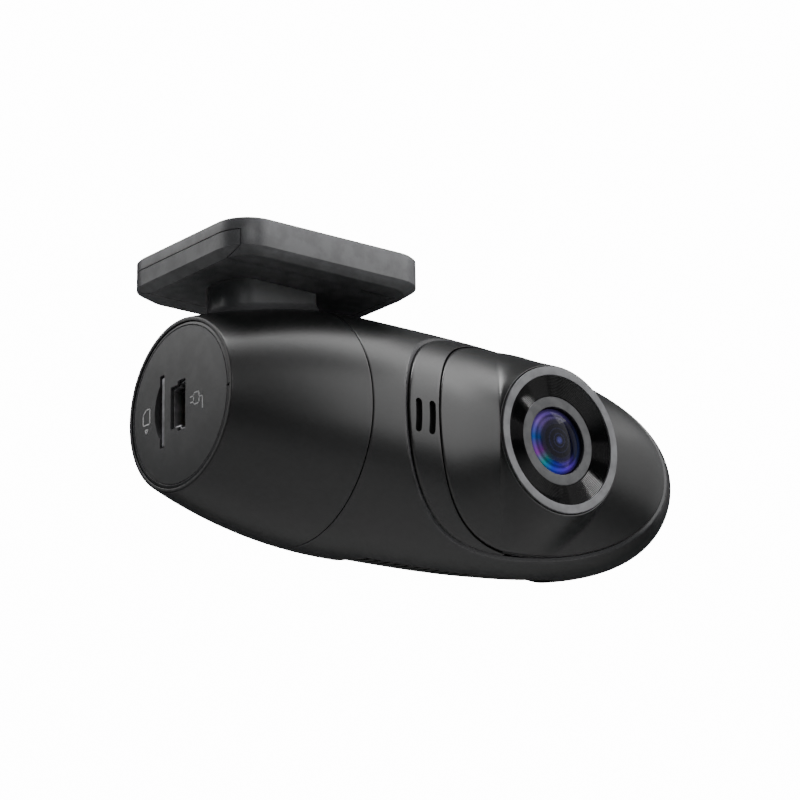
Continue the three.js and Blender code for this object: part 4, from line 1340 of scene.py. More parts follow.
# ---- shells --------------------------------------------------------------------------------------
def thick(name: str, outer: np.ndarray, inner: np.ndarray, walled: range | None = None,
          second: np.ndarray | None = None) -> bpy.types.Object:
    """Closes two matching grids of points into a solid.

    Args:
        name: name of the piece.
        outer: points by row and column.
        inner: the same grid on the hidden side.
        walled: rows whose ends are walled; none for a grid that joins up with itself.
        second: which cells of the outer grid take the piece's second material.

    Returns:
        The cleaned solid.
    """
    rows, columns = outer.shape[:2]
    n = rows * columns
    faces = grid_faces(rows, columns, False) + grid_faces(rows, columns, False, n)
    last = (rows - 1) * columns
    for j in range(columns - 1):
        faces.append((j, j + 1, n + j + 1, n + j))
        faces.append((last + j, last + j + 1, n + last + j + 1, n + last + j))
    for i in walled if walled is not None else range(rows - 1):
        for j in (0, columns - 1):
            a, b = i * columns + j, (i + 1) * columns + j
            faces.append((a, b, n + b, n + a))
    points = np.concatenate([outer.reshape(-1, 3), inner.reshape(-1, 3)])
    piece = mesh_piece(name, points, faces)
    if second is not None:
        marks = np.zeros(len(piece.data.polygons), np.int32)
        marks[:second.size] = second.ravel()
        piece.data.polygons.foreach_set("material_index", marks)
    return clean(piece, merge=0.0008, sharp=28)


def crossing(gap: Callable[[np.ndarray], np.ndarray], low: np.ndarray, high: np.ndarray) -> np.ndarray:
    """Place where a gap changes sign between low and high, by halving.

    Args:
        gap: function whose sign changes once.
        low: places before the change.
        high: places after it.

    Returns:
        The places of the change.
    """
    low, high = np.array(low, float), np.array(high, float)
    sign = np.sign(gap(low))
    for _ in range(48):
        middle = (low + high) / 2
        same = np.sign(gap(middle)) == sign
        low, high = np.where(same, middle, low), np.where(same, high, middle)
    return (low + high) / 2


def fade(distance: np.ndarray, width: float) -> np.ndarray:
    """1 at the edge, falling in a straight line to 0 at a width."""
    return np.clip(1 - distance / width, 0, 1)


def round_off(distance: np.ndarray, radius: float) -> np.ndarray:
    """How far a rounded edge lies below the surface at a distance from the edge."""
    short = np.clip(radius - distance, 0, radius)
    return radius - np.sqrt(np.clip(radius**2 - short**2, 0, None))


@dataclass
class Shells(SubAssembly):
    """Rear shell, microphone band and lens panel of the turning capsule.

    Args:
        wall: thickness of the shells.
        lip: width and depth of the chamfer along the rear shell's seam.
        groove: half width of the groove between band and panel.
        band_gap: groove between rear shell and band.
        edge: radius of the covers' rounded edges.
        hole_r: radius of the panel's hole round the lens.
        collar: radius and front face of the collar round the lens.
        draft: how fast the collar widens with depth.
        flare: how softly the collar runs into the panel.
        dip: how far the panel sinks between its edge and the collar.
        mic_slots: places of the microphone slots from the port end.
        mic_slot: middle height, length and width of a slot.
        rows: rows of points along the rear shell's seam.
        turns: points round the lens panel.
    """

    wall: float = 1.5
    lip: tuple[float, float] = (0.55, 0.32)
    groove: float = 0.12
    band_gap: float = 0.25
    edge: float = 0.22
    hole_r: float = 11.98
    collar: tuple[float, float] = (12.2, -18.95)
    draft: float = 0.42
    flare: float = 3.2
    dip: float = 0.45
    mic_slots: tuple[float, float] = (31.1, 33.75)
    mic_slot: Point = (-0.75, 5.3, 1.2)
    rows: int = 170
    turns: int = 360

    def sideways(self) -> np.ndarray:
        """Column places round the shell, 0 to 1, close together at the seam."""
        near = np.array([0.0, 0.05, 0.12, 0.25, 0.4, 0.52, 0.6, 0.75, 1.0, 1.4, 2.0]) / 119.0
        return np.concatenate([near, np.linspace(2.8 / 119, 1 - 2.8 / 119, 140), 1 - near[::-1]])

    def rear_rows(self) -> tuple[np.ndarray, range]:
        """Row places along the body, and which of them end at the seam.

        Returns:
            The places, and the range of rows that end at the seam.
        """
        start = crossing(lambda x: CURVE.radius(x) + SEAMS.band(x), 20.0, 45.0)
        stop = crossing(lambda x: CURVE.radius(x) + SEAMS.band(x), 75.0, 95.0)
        steps = (1 - np.cos(np.linspace(0, math.pi, self.rows))) / 2
        first = SEAM_X + SEAM_HALF
        before = np.concatenate([[first, first + 0.04, first + 0.12], np.linspace(first + 0.3, start - 1, 24),
                                 start - np.array([0.8, 0.66, 0.56, 0.5, 0.38, 0.25, 0.12, 0.05])])
        left = float(CURVE.radius(stop))
        radii = np.concatenate([left - np.array([0.03, 0.08, 0.15, 0.25, 0.35, 0.5, 0.7]),
                                np.linspace(left - 1, 0, 40)])
        tip = CURVE.belly_x + (CURVE.length - CURVE.belly_x) * (
            1 - (radii / CURVE.belly_r) ** CURVE.nose_q) ** (1 / CURVE.nose_p)
        rows = np.concatenate([before, start + (stop - start) * steps, tip])
        return rows, range(len(before), len(before) + self.rows - 1)

    def rear_shell(self) -> bpy.types.Object:
        """Back, bottom and nose of the capsule, with a chamfered lip along the seam that takes a lighter material
        as a painted highlight.

        Returns:
            The closed shell, without its holes.
        """
        rows, seam_rows = self.rear_rows()
        x = rows[:, None]
        radius = CURVE.radius(x)
        opening = np.zeros_like(x)
        inside = slice(seam_rows.start, seam_rows.stop + 1)
        opening[inside] = np.arccos(np.clip(-SEAMS.band(x[inside]) / radius[inside], -1, 1))
        opening[seam_rows.start] = opening[seam_rows.stop] = 0
        theta = opening + (TAU - 2 * opening) * self.sideways()
        x = np.repeat(x, theta.shape[1], 1)
        slope = (CURVE.radius(x + 0.01) - CURVE.radius(x - 0.01)) / 0.02
        normal = np.stack([-slope, -np.cos(theta), -np.sin(theta)], -1)
        normal /= np.linalg.norm(normal, axis=-1, keepdims=True)
        outer = CURVE.around(x, theta)
        rise = np.stack([-(SEAMS.band(x + 0.01) - SEAMS.band(x - 0.01)) / 0.02, np.ones_like(x), 0 * x], -1)
        rise -= (rise * normal).sum(-1, keepdims=True) * normal
        away = (outer[..., 1] - SEAMS.band(x)) / np.maximum(np.linalg.norm(rise, axis=-1), 0.05)
        width, depth = self.lip
        drop = depth * fade(np.clip(away, 0, None), width) + round_off(x - rows[0], 0.12)
        outer = outer - normal * drop[..., None]
        scale = (CURVE.length - self.wall - rows[0]) / (CURVE.length - rows[0])
        inner = CURVE.around(rows[0] + (x - rows[0]) * scale, theta, self.wall)
        # cells on the lip take the lighter second material, a painted highlight along the seam
        on_lip = (away[1:, 1:] + away[:-1, :-1]) / 2 < width
        shell = thick("capsule_shell", outer, inner, seam_rows, on_lip)
        shell.data.materials.append(self.palette["shell_plastic"])
        shell.data.materials.append(self.palette["lip_painted_highlight"])
        return shell

    def seam_reach(self, seam: Callable[[np.ndarray], np.ndarray], angle: np.ndarray) -> np.ndarray:
        """Distance from the lens axis to a seam, in each direction seen from the front.

        Args:
            seam: the seam's Y along the body.
            angle: directions round the lens axis, in radians.

        Returns:
            The distance in each direction.
        """
        def gap(reach: np.ndarray) -> np.ndarray:
            """How far the surface lies behind the seam at each distance."""
            px, pz = LENS_X + reach * np.cos(angle), reach * np.sin(angle)
            return -np.sqrt(np.clip(CURVE.radius(px) ** 2 - pz**2, 0, None)) - seam(px)
        return crossing(gap, np.full_like(angle, 8.0), np.full_like(angle, 35.0))

    def lens_panel(self) -> bpy.types.Object:
        """Front cover, flaring up into the collar round the lens.

        Returns:
            The closed cover.
        """
        angle = np.linspace(0, TAU, self.turns + 1)
        edge = self.seam_reach(SEAMS.panel, angle) - self.groove
        start_r, front = self.collar
        steps = np.concatenate([np.linspace(0, 0.96, 60) ** 1.5, [0.965, 0.972]])
        reach = start_r + (edge - start_r) * steps[:, None]
        close = edge - np.array([0.34, 0.22, 0.15, 0.1, 0.06, 0.03, 0.01, 0.0])[:, None]
        reach = np.concatenate([np.minimum(reach, close[0] - 0.02), close])
        px, pz = LENS_X + reach * np.cos(angle), reach * np.sin(angle)
        share = np.clip((reach - start_r) / (edge - start_r), 0, 1)
        sink = self.dip * np.sin(math.pi * share)
        base = CURVE.front_y(px, pz) + sink * np.clip((edge - start_r) / 12, 0, 1)
        cone = front + (reach - start_r) / self.draft
        soft = np.clip(0.55 * (base[0] - front), 0.04, self.flare)
        blend = np.clip(0.5 + 0.5 * (cone - base) / soft, 0, 1)
        face = cone + (base - cone) * blend - soft * blend * (1 - blend)
        face = np.maximum(face, np.minimum(base, front)) + round_off(edge - reach, self.edge)
        rim = [(self.hole_r, -15.5), (self.hole_r, front + 0.12), (self.hole_r + 0.04, front + 0.04),
               (self.hole_r + 0.1, front), (start_r - 0.05, front)]
        ring_r = np.array([r for r, _ in rim])[:, None] + 0 * angle
        ring_y = np.array([y for _, y in rim])[:, None] + 0 * angle
        ring = np.stack([LENS_X + ring_r * np.cos(angle), ring_y, ring_r * np.sin(angle)], -1)
        outer = np.concatenate([ring, np.stack([px, face, pz], -1)])
        inner = outer.copy()
        inner[:5, :, 1] = np.maximum(outer[:5, :, 1], front + self.wall)
        inner[5:, :, 1] = np.maximum(outer[5:, :, 1], front) + self.wall
        inner[0] = inner[1]
        outer[0] = outer[1]
        outer[0, :, 1] += 0.6
        return thick("front_panel", outer, inner, range(0))

    def mic_band(self) -> bpy.types.Object:
        """Crescent band with two microphone slots, tapering to a point above and below.

        Returns:
            The closed band.
        """
        angle = np.linspace(math.radians(93), math.radians(267), 260)
        back = self.seam_reach(SEAMS.band, angle) - self.band_gap
        front = self.seam_reach(SEAMS.panel, angle) + self.groove
        keep = back - front > 0.12
        angle, back, front = angle[keep], back[keep], front[keep]
        distance = np.array([0.0, 0.01, 0.03, 0.06, 0.1, 0.15, 0.22])
        width = back - front
        share = np.minimum(distance[:, None], width * 0.45 * distance[:, None] / distance[-1])
        middle = front + share[-1] + (width - 2 * share[-1]) * np.linspace(0, 1, 14)[1:-1, None]
        reach = np.concatenate([front + share, middle, back - share[::-1]])
        px, pz = LENS_X + reach * np.cos(angle), reach * np.sin(angle)
        near = np.minimum(reach - front, back - reach)
        y = CURVE.front_y(px, pz) + round_off(near, self.edge)
        outer = np.stack([px, y, pz], -1)
        inner = outer + [0, self.wall * 0.9, 0]
        band = thick("mic_crescent", outer, inner)
        z, length, wide = self.mic_slot
        for place in self.mic_slots:
            outline = round_rectangle(place - wide / 2, z - length / 2, place + wide / 2, z + length / 2,
                                      [wide / 2 - 0.001] * 4, 8)
            cut(band, slab("mic_tool", outline, -25, -15, Axis.LENS))
        return clean(band, merge=0.0008, sharp=28)

    def ledge(self) -> bpy.types.Object:
        """Near-black ledge of the rear shell below the seams, a sheet that paints the shade seen through the seam
        gaps.

        Returns:
            The closed ledge.
        """
        angle = np.linspace(0, TAU, 241)
        seam = self.seam_reach(SEAMS.band, angle)
        other = self.seam_reach(SEAMS.panel, angle)
        reach = np.linspace(other - 1.2, seam + 0.5, 10)
        px, pz = LENS_X + reach * np.cos(angle), reach * np.sin(angle)
        layers = [np.stack([px, CURVE.front_y(px, pz, inset), pz], -1) for inset in (0.95, 1.4)]
        return thick("shell_ledge", *layers, range(0))

    def build(self, *holes: bpy.types.Object) -> None:
        """Builds and dresses the shells; holes are cut into the rear one.

        Args:
            *holes: tools for the openings of the rear shell.
        """
        shell = self.rear_shell()
        if holes:
            cut(shell, *holes)
        self.fit(clean(shell, sharp=28), "camera", "shell_plastic", "body_plastic", "rear_shell")
        self.fit(self.lens_panel(), "camera", "panel_plastic", "panel_plastic", "lens_panel")
        self.fit(self.mic_band(), "camera", "panel_plastic", "body_plastic", "mic_band")
        self.fit(self.ledge(), "camera", "painted_shade_black", "body_plastic", edges=False)
        self.mic_mesh()

    def mic_mesh(self) -> None:
        """Woven mesh behind the microphone slots, spread by a node tree, and a near-black backing sheet that
        paints the shade behind it.
        """
        low, high = cad_corners("mic_mesh")
        high[1] = low[1] + 0.25
        shape = NodeShape("mic_weave", {
            "Count X": 18, "Count Z": 18, "Wire": 0.11, "Width": float(high[0] - low[0]),
            "Height": float(high[2] - low[2])}, self.palette["black_plastic"])
        wires = []
        ways = (("Count X", "Width", "Height", 2), ("Count Z", "Height", "Width", 0))
        for count, span, other, along in ways:
            size = {k: shape.size("Wire") for k in range(3)} | {along: shape.size(other)}
            pitch = shape.math("DIVIDE", shape.size(span), shape.size(count))
            first = shape.math("MULTIPLY", shape.size(span), -0.47)
            wires.append(shape.row_of_bars(count, size, {2 - along: pitch}, {2 - along: first}))
        weave = shape.build(shape.in_metres(shape.moved(shape.joined(*wires), (low + high) / 2)))
        self.fit(weave, "camera", "black_plastic", "black_plastic", "mic_mesh", edges=False)
        # near-black sheet behind the mesh, painting the shade inside the slots
        backing = box_piece("mic_backing", (low[0], high[1] + 0.1, low[2]), (high[0], high[1] + 0.3, high[2]))
        self.fit(backing, "camera", "painted_shade_black", "black_plastic", edges=False)


# ---- vent ----------------------------------------------------------------------------------------
@dataclass
class Vent(SubAssembly):
    """Slotted black insert along the underside.

    Args:
        x: where it starts and ends along the body.
        around: where it starts and ends round the body, in degrees from the lens side downwards.
        corner: radius of its corners.
        recess: how deep the insert sits.
        rim: width of the frame round the slots.
        pitch: distance between ribs.
        slot: width of a slot.
        rib_depth: depth of a rib.
        rib_gap: angle between the rib's end and the insert's edge, in radians.
        edge: rounding of the frame and the ribs.
    """

    x: tuple[float, float] = (33.0, 74.4)
    around: tuple[float, float] = (87.0, 119.0)
    corner: float = 2.0
    recess: float = 0.6
    rim: float = 1.2
    pitch: float = 2.0
    slot: float = 0.9
    rib_depth: float = 1.1
    rib_gap: float = 0.04
    edge: float = 0.12

    def patch(self, margin: float, inset: float) -> np.ndarray:
        """Grid of points on the body, inset from the vent's outline and from the surface.

        Args:
            margin: how far inside the vent's outline.
            inset: how far below the body's surface.

        Returns:
            The points by row and column.
        """
        x0, x1 = self.x[0] + margin, self.x[1] - margin
        r = max(self.corner - margin, 0.2)
        ends = r * (1 - np.cos(np.linspace(0, math.pi / 2, 9)))
        x = np.concatenate([x0 + ends, np.linspace(x0 + r, x1 - r, 60)[1:-1], x1 - ends[::-1]])
        near = np.clip(np.minimum(x - x0, x1 - x), 0, r)
        shrink = (margin + r - np.sqrt(r**2 - (r - near) ** 2)) / CURVE.belly_r
        a0, a1 = (math.radians(a) for a in self.around)
        theta = (a0 + shrink)[:, None] + (a1 - a0 - 2 * shrink)[:, None] * np.linspace(0, 1, 24)
        return CURVE.around(np.repeat(x[:, None], 24, 1), theta, inset)

    def block(self, name: str, margin: float, top: float, bottom: float) -> bpy.types.Object:
        """Solid between two insets."""
        return thick(name, self.patch(margin, top), self.patch(margin, bottom))

    def hole(self) -> bpy.types.Object:
        """Tool that opens the rear shell for the insert."""
        return self.block("vent_hole", 0.0, -1.0, 2.5)

    def ribs(self) -> bpy.types.Object:
        """Ribs across the slots, spread and bent onto the body by a node tree.

        Returns:
            All ribs as one piece.
        """
        a0, a1 = (math.radians(a) for a in self.around)
        span = self.x[1] - self.x[0] - 2 * self.rim
        count = int(span / self.pitch)
        shape = NodeShape("vent_ribs", {
            "Count": count, "Pitch": self.pitch, "Rib": self.pitch - self.slot, "Depth": self.rib_depth,
            "Start": self.x[0] + (span + 2 * self.rim - (count - 1) * self.pitch) / 2,
            "From": a0 + self.rib_gap, "Sweep": a1 - a0 - 2 * self.rib_gap,
            "Top": CURVE.belly_r - self.recess,
            "Belly": CURVE.belly_x, "Length": CURVE.length - CURVE.belly_x},
            self.palette["vent_black"])
        size = {0: shape.size("Rib"), 1: shape.size("Depth"), 2: 1.0}
        row = shape.row_of_bars("Count", size, {0: shape.size("Pitch")}, {0: shape.size("Start")}, (3, 2, 24))
        real = shape.node("GeometryNodeRealizeInstances", {0: row})
        x, depth, turn = shape.places()
        share = shape.math("DIVIDE", shape.math("SUBTRACT", x, shape.size("Belly")), shape.size("Length"))
        blunt = shape.math("SUBTRACT", 1.0, shape.math("POWER", share, CURVE.nose_p))
        top = shape.math("MULTIPLY", shape.math("POWER", blunt, 1 / CURVE.nose_q), shape.size("Top"))
        half_depth = shape.math("MULTIPLY", shape.size("Depth"), 0.5)
        radius = shape.math("SUBTRACT", shape.math("SUBTRACT", top, half_depth), depth)
        angle = shape.math("ADD", shape.size("From"),
                           shape.math("MULTIPLY", shape.math("ADD", turn, 0.5), shape.size("Sweep")))
        y = shape.math("MULTIPLY", shape.math("MULTIPLY", radius, shape.math("COSINE", angle)), -1.0)
        z = shape.math("MULTIPLY", shape.math("MULTIPLY", radius, shape.math("SINE", angle)), -1.0)
        return shape.build(shape.in_metres(shape.bent(real.outputs[0], x, y, z)))

    def build(self) -> None:
        """Builds and dresses the insert."""
        rim = self.block("vent_frame", 0.12, self.recess - 0.15, 1.8)
        cut(rim, self.block("rim_tool", self.rim, -1.0, 4.0))
        soften(rim, self.edge, 2, 50)
        self.fit(clean(rim), "camera", "vent_black", "black_plastic", "vent_grille")
        ribs = self.ribs()
        soften(clean(ribs), self.edge, 2, 50)
        self.fit(clean(ribs), "camera", "vent_black", "black_plastic")
        # near-black sheet behind the slots, painting the shade inside the vent
        backing = self.block("vent_backing", 0.5, 2.0, 2.3)
        self.fit(backing, "camera", "painted_shade_black", "black_plastic", edges=False)


# ---- lens ----------------------------------------------------------------------------------------
@dataclass
class Lens(SubAssembly):
    """Rings and glass round the lens axis.

    Args:
        ring_r: outer and inner radius of the grey ring.
        grooves: number of fine grooves.
        groove_depth: their depth.
        grooved: outer radius, inner radius and the two heights of the grooved face.
        inner: inner and outer radius of the ring round the glass.
        glass_r: radius of the front glass.
        dome: apex, edge and back of the front glass.
        second: radius and bulge of the element behind it.
        foot: back of the grey ring, and radius and front of its inner step.
    """

    ring_r: tuple[float, float] = (11.9, 10.5)
    grooves: int = 14
    groove_depth: float = 0.13
    grooved: tuple[float, float, float, float] = (10.47, 7.22, -18.98, -18.6)
    inner: tuple[float, float] = (5.6, 7.0)
    glass_r: float = 5.3
    dome: Point = (-18.95, -17.85, -16.53)
    second: tuple[float, float] = (4.5, 0.9)
    foot: Point = (-12.83, 7.3, -14.03)

    def turn(self, name: str, profile: Profile, segments: int = 160, radius: float = 0.1) -> bpy.types.Object:
        """Turns a profile of (y, radius) points about the lens axis."""
        return turned(name, rounded(profile, radius), Axis.LENS, segments, x=LENS_X)

    def rings(self) -> None:
        """Outer and inner grey rings."""
        outer, inner = self.ring_r
        back, step_r, step_y = self.foot
        ring = self.turn("lens_ring", [(LENS_FACE, inner, 0.08), (LENS_FACE, outer, 0.12), (back, outer),
                                       (back, step_r), (step_y, step_r), (step_y, inner)])
        self.fit(ring, "camera", "ring_paint", "lens_ring_metal", "lens_bezel")
        low, high = self.inner
        face = cad_corners("inner_ring")[0, 1]
        back = self.dome[2]
        small = self.turn("glass_ring", [(face, low - 0.12, 0.12), (face, high + 0.2, 0.1),
                                         (back, high + 0.2), (back, low), (face + 0.9, low)])
        self.fit(small, "camera", "dark_ring_paint", "lens_ring_metal", "inner_ring")

    def grooved_ring(self) -> None:
        """Black ring with fine round grooves, bent from a flat grid by a node tree."""
        outer, inner, high, low = self.grooved
        shape = NodeShape("fine_grooves", {
            "Grooves": self.grooves, "Depth": self.groove_depth, "Outer": outer, "Inner": inner,
            "Outer Height": high, "Inner Height": low, "Thickness": 1.0}, self.palette["groove_black"])
        columns = shape.math("ADD", shape.math("MULTIPLY", shape.size("Grooves"), 4.0), 1.0)
        grid = shape.node("GeometryNodeMeshGrid", {"Size X": 1.0, "Size Y": 1.0, "Vertices X": columns,
                                                   "Vertices Y": 193})
        across, round_ring, _ = shape.places()
        share = shape.math("ADD", across, 0.5)
        angle = shape.math("MULTIPLY", shape.math("ADD", round_ring, 0.5), TAU)
        radius = shape.math("ADD", shape.size("Outer"),
                            shape.math("MULTIPLY", share, shape.math("SUBTRACT", shape.size("Inner"),
                                                                     shape.size("Outer"))))
        slope = shape.math("MULTIPLY", share, shape.math("SUBTRACT", shape.size("Inner Height"),
                                                         shape.size("Outer Height")))
        flanks = shape.math("MULTIPLY", shape.math("MULTIPLY", share, shape.size("Grooves")), 2.0)
        dip = shape.math("MULTIPLY", shape.math("PINGPONG", flanks, 1.0), shape.size("Depth"))
        y = shape.math("ADD", shape.math("ADD", shape.size("Outer Height"), slope), dip)
        x = shape.math("ADD", shape.math("MULTIPLY", radius, shape.math("COSINE", angle)), LENS_X)
        z = shape.math("MULTIPLY", radius, shape.math("SINE", angle))
        face = shape.welded(shape.bent(grid.outputs[0], x, y, z))
        back = shape.vector({1: shape.size("Thickness")})
        deep = shape.node("GeometryNodeExtrudeMesh", {"Mesh": face, "Offset": back, "Offset Scale": 1.0,
                                                      "Individual": False})
        closed = shape.welded(shape.joined(face, deep.outputs[0]))
        piece = clean(shape.build(shape.in_metres(closed)), merge=0.0005, sharp=60)
        self.fit(piece, "camera", "groove_black", "black_plastic", "grooved_ring", edges=False)

    def cap_curve(self, middle: float, edge: float, radius: float, steps: int = 24) -> Profile:
        """Arc of (y, radius) points from the axis to the rim."""
        return [(middle + (edge - middle) * (r / radius) ** 2, r) for r in np.linspace(0, radius, steps)]

    def glass(self) -> None:
        """Front glass and the element behind it."""
        apex, edge, back = self.dome
        curve = self.cap_curve(apex, edge, self.glass_r)
        front = turned("front_dome", [*curve, (back, self.glass_r), (back, 0.0)], Axis.LENS, 128, x=LENS_X)
        self.fit(front, "camera", "front_glass_painted_reflection", "coated_glass", "front_glass", edges=False)
        low, high = cad_corners("second_element")[:, 1]
        radius, bulge = self.second
        curve = self.cap_curve(low, low + bulge, radius)
        second = turned("second_dome", [*curve, (high, radius), (high, 0.0)], Axis.LENS, 128, x=LENS_X)
        self.fit(second, "camera", "inner_glass_painted_reflection", "coated_glass", "second_element", edges=False)

    def build(self) -> None:
        """Builds and dresses the lens."""
        self.rings()
        self.grooved_ring()
        self.glass()


# ---- controls ------------------------------------------------------------------------------------
@dataclass
class Controls(SubAssembly):
    """Power button and status light on the windscreen side.

    Args:
        x: place from the port end.
        button_r: radius of the button.
        light_z: height of the light over the axis.
        light_r: radius of the light pipe.
        hole_y: where the tools for their holes start and end.
        dish: depth of the button's dish and width of its rim.
    """

    x: float = 41.0
    button_r: float = 3.5
    light_z: float = 6.2
    light_r: float = 0.8
    hole_y: tuple[float, float] = (12.0, 22.0)
    dish: tuple[float, float] = (0.28, 0.6)

    def holes(self) -> list[bpy.types.Object]:
        """Tools that open the rear shell for the button and the light pipe.

        Returns:
            One tool for each opening.
        """
        tools = []
        start, end = self.hole_y
        for z, r in ((0.0, self.button_r + 0.16), (self.light_z, self.light_r + 0.06)):
            profile = [(start, 0.0), (start, r), (end, r), (end, 0.0)]
            tools.append(turned("control_hole", profile, Axis.LENS, 64, x=self.x, z=z))
        return tools

    def build(self) -> None:
        """Builds and dresses both."""
        low, high = cad_corners("power_button")[:, 1]
        r = self.button_r
        depth, rim = self.dish
        dish = [(high - depth * (1 - (s / (r - rim)) ** 2), s) for s in np.linspace(0, r - rim, 14)]
        profile = [*dish, (high, r - 0.3), (high - 0.1, r - 0.1), (high - 0.3, r), (low, r), (low, 0.0)]
        button = turned("round_button", profile, Axis.LENS, 96, x=self.x)
        self.fit(button, "power_button", "panel_plastic", "panel_plastic", "power_button")
        surface = math.sqrt(float(CURVE.radius(self.x)) ** 2 - self.light_z**2)
        back = cad_corners("light_pipe")[0, 1]
        pipe = turned("light_window", [(surface - 0.05, 0.0), (surface - 0.1, self.light_r * 0.8),
                                       (surface - 0.25, self.light_r), (back, self.light_r), (back, 0.0)],
                      Axis.LENS, 48, x=self.x, z=self.light_z)
        self.fit(pipe, "camera", "clear_plastic", "clear_plastic", "light_pipe", edges=False)


# ---- inside --------------------------------------------------------------------------------------
@dataclass
class Inside(SubAssembly):
    """Finishes for the parts that are carried over as they are.

    Args:
        by_slot: finish of each material slot.
    """

    by_slot: dict[str, str] = field(default_factory=lambda: {
        "foam_tape": "foam_tape", "mount_plastic": "mount_plastic", "body_plastic": "shell_plastic",
        "panel_plastic": "panel_plastic", "cap_plastic": "cap_plastic", "rubber": "soft_rubber",
        "bright_metal": "bright_metal", "black_plastic": "black_plastic", "lens_ring_metal": "ring_paint",
        "coated_glass": "inner_glass_painted_reflection", "circuit_board": "solder_green", "chip_resin": "chip_resin",
        "ribbon_film": "ribbon_film", "clear_plastic": "clear_plastic"})

    def build(self) -> None:
        """Puts the finish of its slot on every carried-over part."""
        for row in frame["record"]["subparts"]:
            node = frame["nodes"][row["node"]]
            node.data.materials.clear()
            node.data.materials.append(self.palette[self.by_slot[row["material_slot"]]])


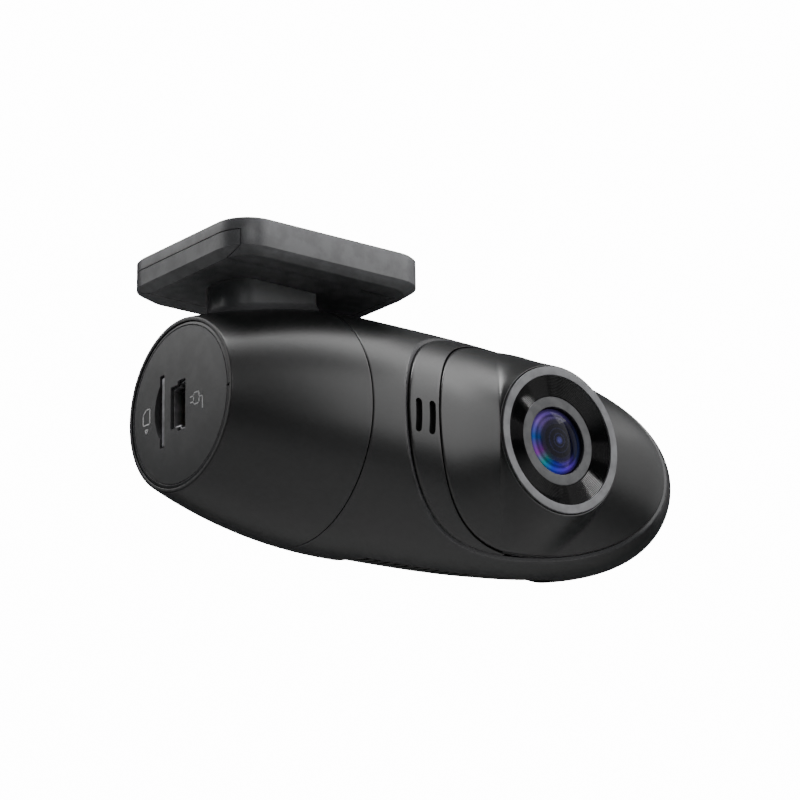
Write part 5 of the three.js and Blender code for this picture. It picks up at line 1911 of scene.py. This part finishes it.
# ---- studio --------------------------------------------------------------------------------------
@dataclass
class Studio:
    """Floor, backdrop, lights and camera.

    Args:
        spot: camera place in metres.
        turn: azimuth, elevation and roll in degrees.
        lens: focal length in millimetres.
        middle: the point that the lights face, in metres.
        backdrop: its distance behind the middle, half width and glow.
        floor: height and half width of the floor.
        air: strength of the even light from all round.
        lights: name, direction from the object, distance, size, power of each soft light.
    """

    spot: Point = (-0.284992, -0.385785, -0.171124)
    turn: Point = (-38.724, -17.109, -0.908)
    lens: float = 146.3
    middle: Point = (0.03, 0.0, -0.02)
    backdrop: Point = (0.9, 1.6, 14.0)
    floor: tuple[float, float] = (-0.6, 3.0)
    air: float = 0.05
    lights: tuple[tuple[str, Point, float, tuple[float, float], float], ...] = (
        ("top_softbox", (0.45, -0.2, 0.85), 0.9, (0.4, 0.9), 5.2),
        ("overhead_softbox", (-0.1, -0.14, 0.99), 0.9, (0.45, 0.45), 7.0),
        ("nose_softbox", (0.95, -0.1, 0.3), 0.9, (0.5, 0.8), 0.9),
        ("left_softbox", (-0.6, 0.62, 0.55), 0.9, (0.5, 0.4), 2.6),
        ("front_softbox", (0.58, -0.76, 0.28), 1.0, (0.9, 0.9), 7.0),
        ("side_softbox", (-0.4, -0.85, 0.3), 1.0, (0.4, 0.4), 1.6),
    )

    def axes(self) -> tuple[np.ndarray, np.ndarray, np.ndarray]:
        """The camera's right, up and backward directions.

        Returns:
            Three unit vectors.
        """
        a, e, roll = (math.radians(v) for v in self.turn)
        back = np.array([math.sin(a) * math.cos(e), -math.cos(a) * math.cos(e), math.sin(e)])
        level = np.array([math.cos(a), math.sin(a), 0.0])
        rise = np.cross(back, level)
        return (math.cos(roll) * level + math.sin(roll) * rise,
                -math.sin(roll) * level + math.cos(roll) * rise, back)

    def camera(self) -> None:
        """Adds the camera and makes it the scene's."""
        data = bpy.data.cameras.new("studio_camera")
        data.lens, data.sensor_width = self.lens, 36
        data.clip_start, data.clip_end = 0.01, 20
        camera = bpy.data.objects.new("studio_camera", data)
        bpy.context.scene.collection.objects.link(camera)
        turn = Matrix(np.stack(self.axes(), 1).tolist()).to_4x4()
        camera.matrix_world = Matrix.Translation(self.spot) @ turn
        bpy.context.scene.camera = camera

    def sheet(self, name: str, corners: Sequence[np.ndarray], tone: float,
              glow: float) -> bpy.types.Object:
        """Adds a plain sheet of the stage.

        Args:
            name: name of the sheet.
            corners: its four corners in metres.
            tone: its lightness.
            glow: strength of its own light.

        Returns:
            The sheet.
        """
        mesh = bpy.data.meshes.new(name)
        mesh.from_pydata([tuple(c) for c in corners], [], [(0, 1, 2, 3)])
        sheet = bpy.data.objects.new(name, mesh)
        bpy.context.scene.collection.objects.link(sheet)
        material, shader, surface = new_material(name + "_paper")
        fibre = shader.node("TexNoise", {"Vector": shader.object_place(), "Scale": 300.0, "Detail": 3.0})
        paper = shader.mix(shader.math("MULTIPLY", fibre.outputs[0], 0.15), (tone, tone, tone, 1),
                           (tone * 0.96, tone * 0.96, tone * 0.97, 1))
        shader.feed(surface, {"Base Color": paper, "Roughness": 0.9, "Emission Color": (1, 1, 1, 1),
                              "Emission Strength": glow})
        mesh.materials.append(material)
        return sheet

    def sheets(self) -> None:
        """Adds the glowing backdrop and the floor."""
        square = ((-1, -1), (1, -1), (1, 1), (-1, 1))
        right, up, back = self.axes()
        distance, half, glow = self.backdrop
        behind = np.array(self.middle) - back * distance
        corners = [behind + right * u * half + up * v * half for u, v in square]
        backdrop = self.sheet("backdrop", corners, 0.85, glow)
        backdrop.visible_glossy = backdrop.visible_diffuse = backdrop.visible_transmission = False
        height, size = self.floor
        self.sheet("floor", [np.array([u * size, v * size, height]) for u, v in square], 0.65, 0.0)

    def lamps(self) -> None:
        """Adds the soft lights, all facing the middle."""
        middle = Vector(self.middle)
        for name, way, distance, (wide, deep), power in self.lights:
            data = bpy.data.lights.new(name, "AREA")
            data.shape, data.size, data.size_y, data.energy = "RECTANGLE", wide, deep, power
            lamp = bpy.data.objects.new(name, data)
            bpy.context.scene.collection.objects.link(lamp)
            lamp.location = middle + Vector(way).normalized() * distance
            lamp.rotation_euler = (middle - lamp.location).to_track_quat("-Z", "Y").to_euler()

    def build(self) -> None:
        """Builds the studio."""
        self.camera()
        self.sheets()
        self.lamps()
        world = bpy.data.worlds.new("studio_air")
        world.use_nodes = True
        shine = world.node_tree.nodes["Background"].inputs
        shine[0].default_value, shine[1].default_value = (0.9, 0.95, 1.0, 1), self.air
        bpy.context.scene.world = world


# ---- assembly ------------------------------------------------------------------------------------
def main() -> None:
    logging.basicConfig(level=logging.INFO, format="%(name)s: %(message)s")
    palette = Palette()
    vent, controls = Vent(palette), Controls(palette)
    Inside(palette).build()
    Mount(palette).build()
    PortEnd(palette).build()
    Shells(palette).build(vent.hole(), *controls.holes())
    vent.build()
    Lens(palette).build()
    controls.build()
    Studio().build()


if __name__ == "__main__":
    main()
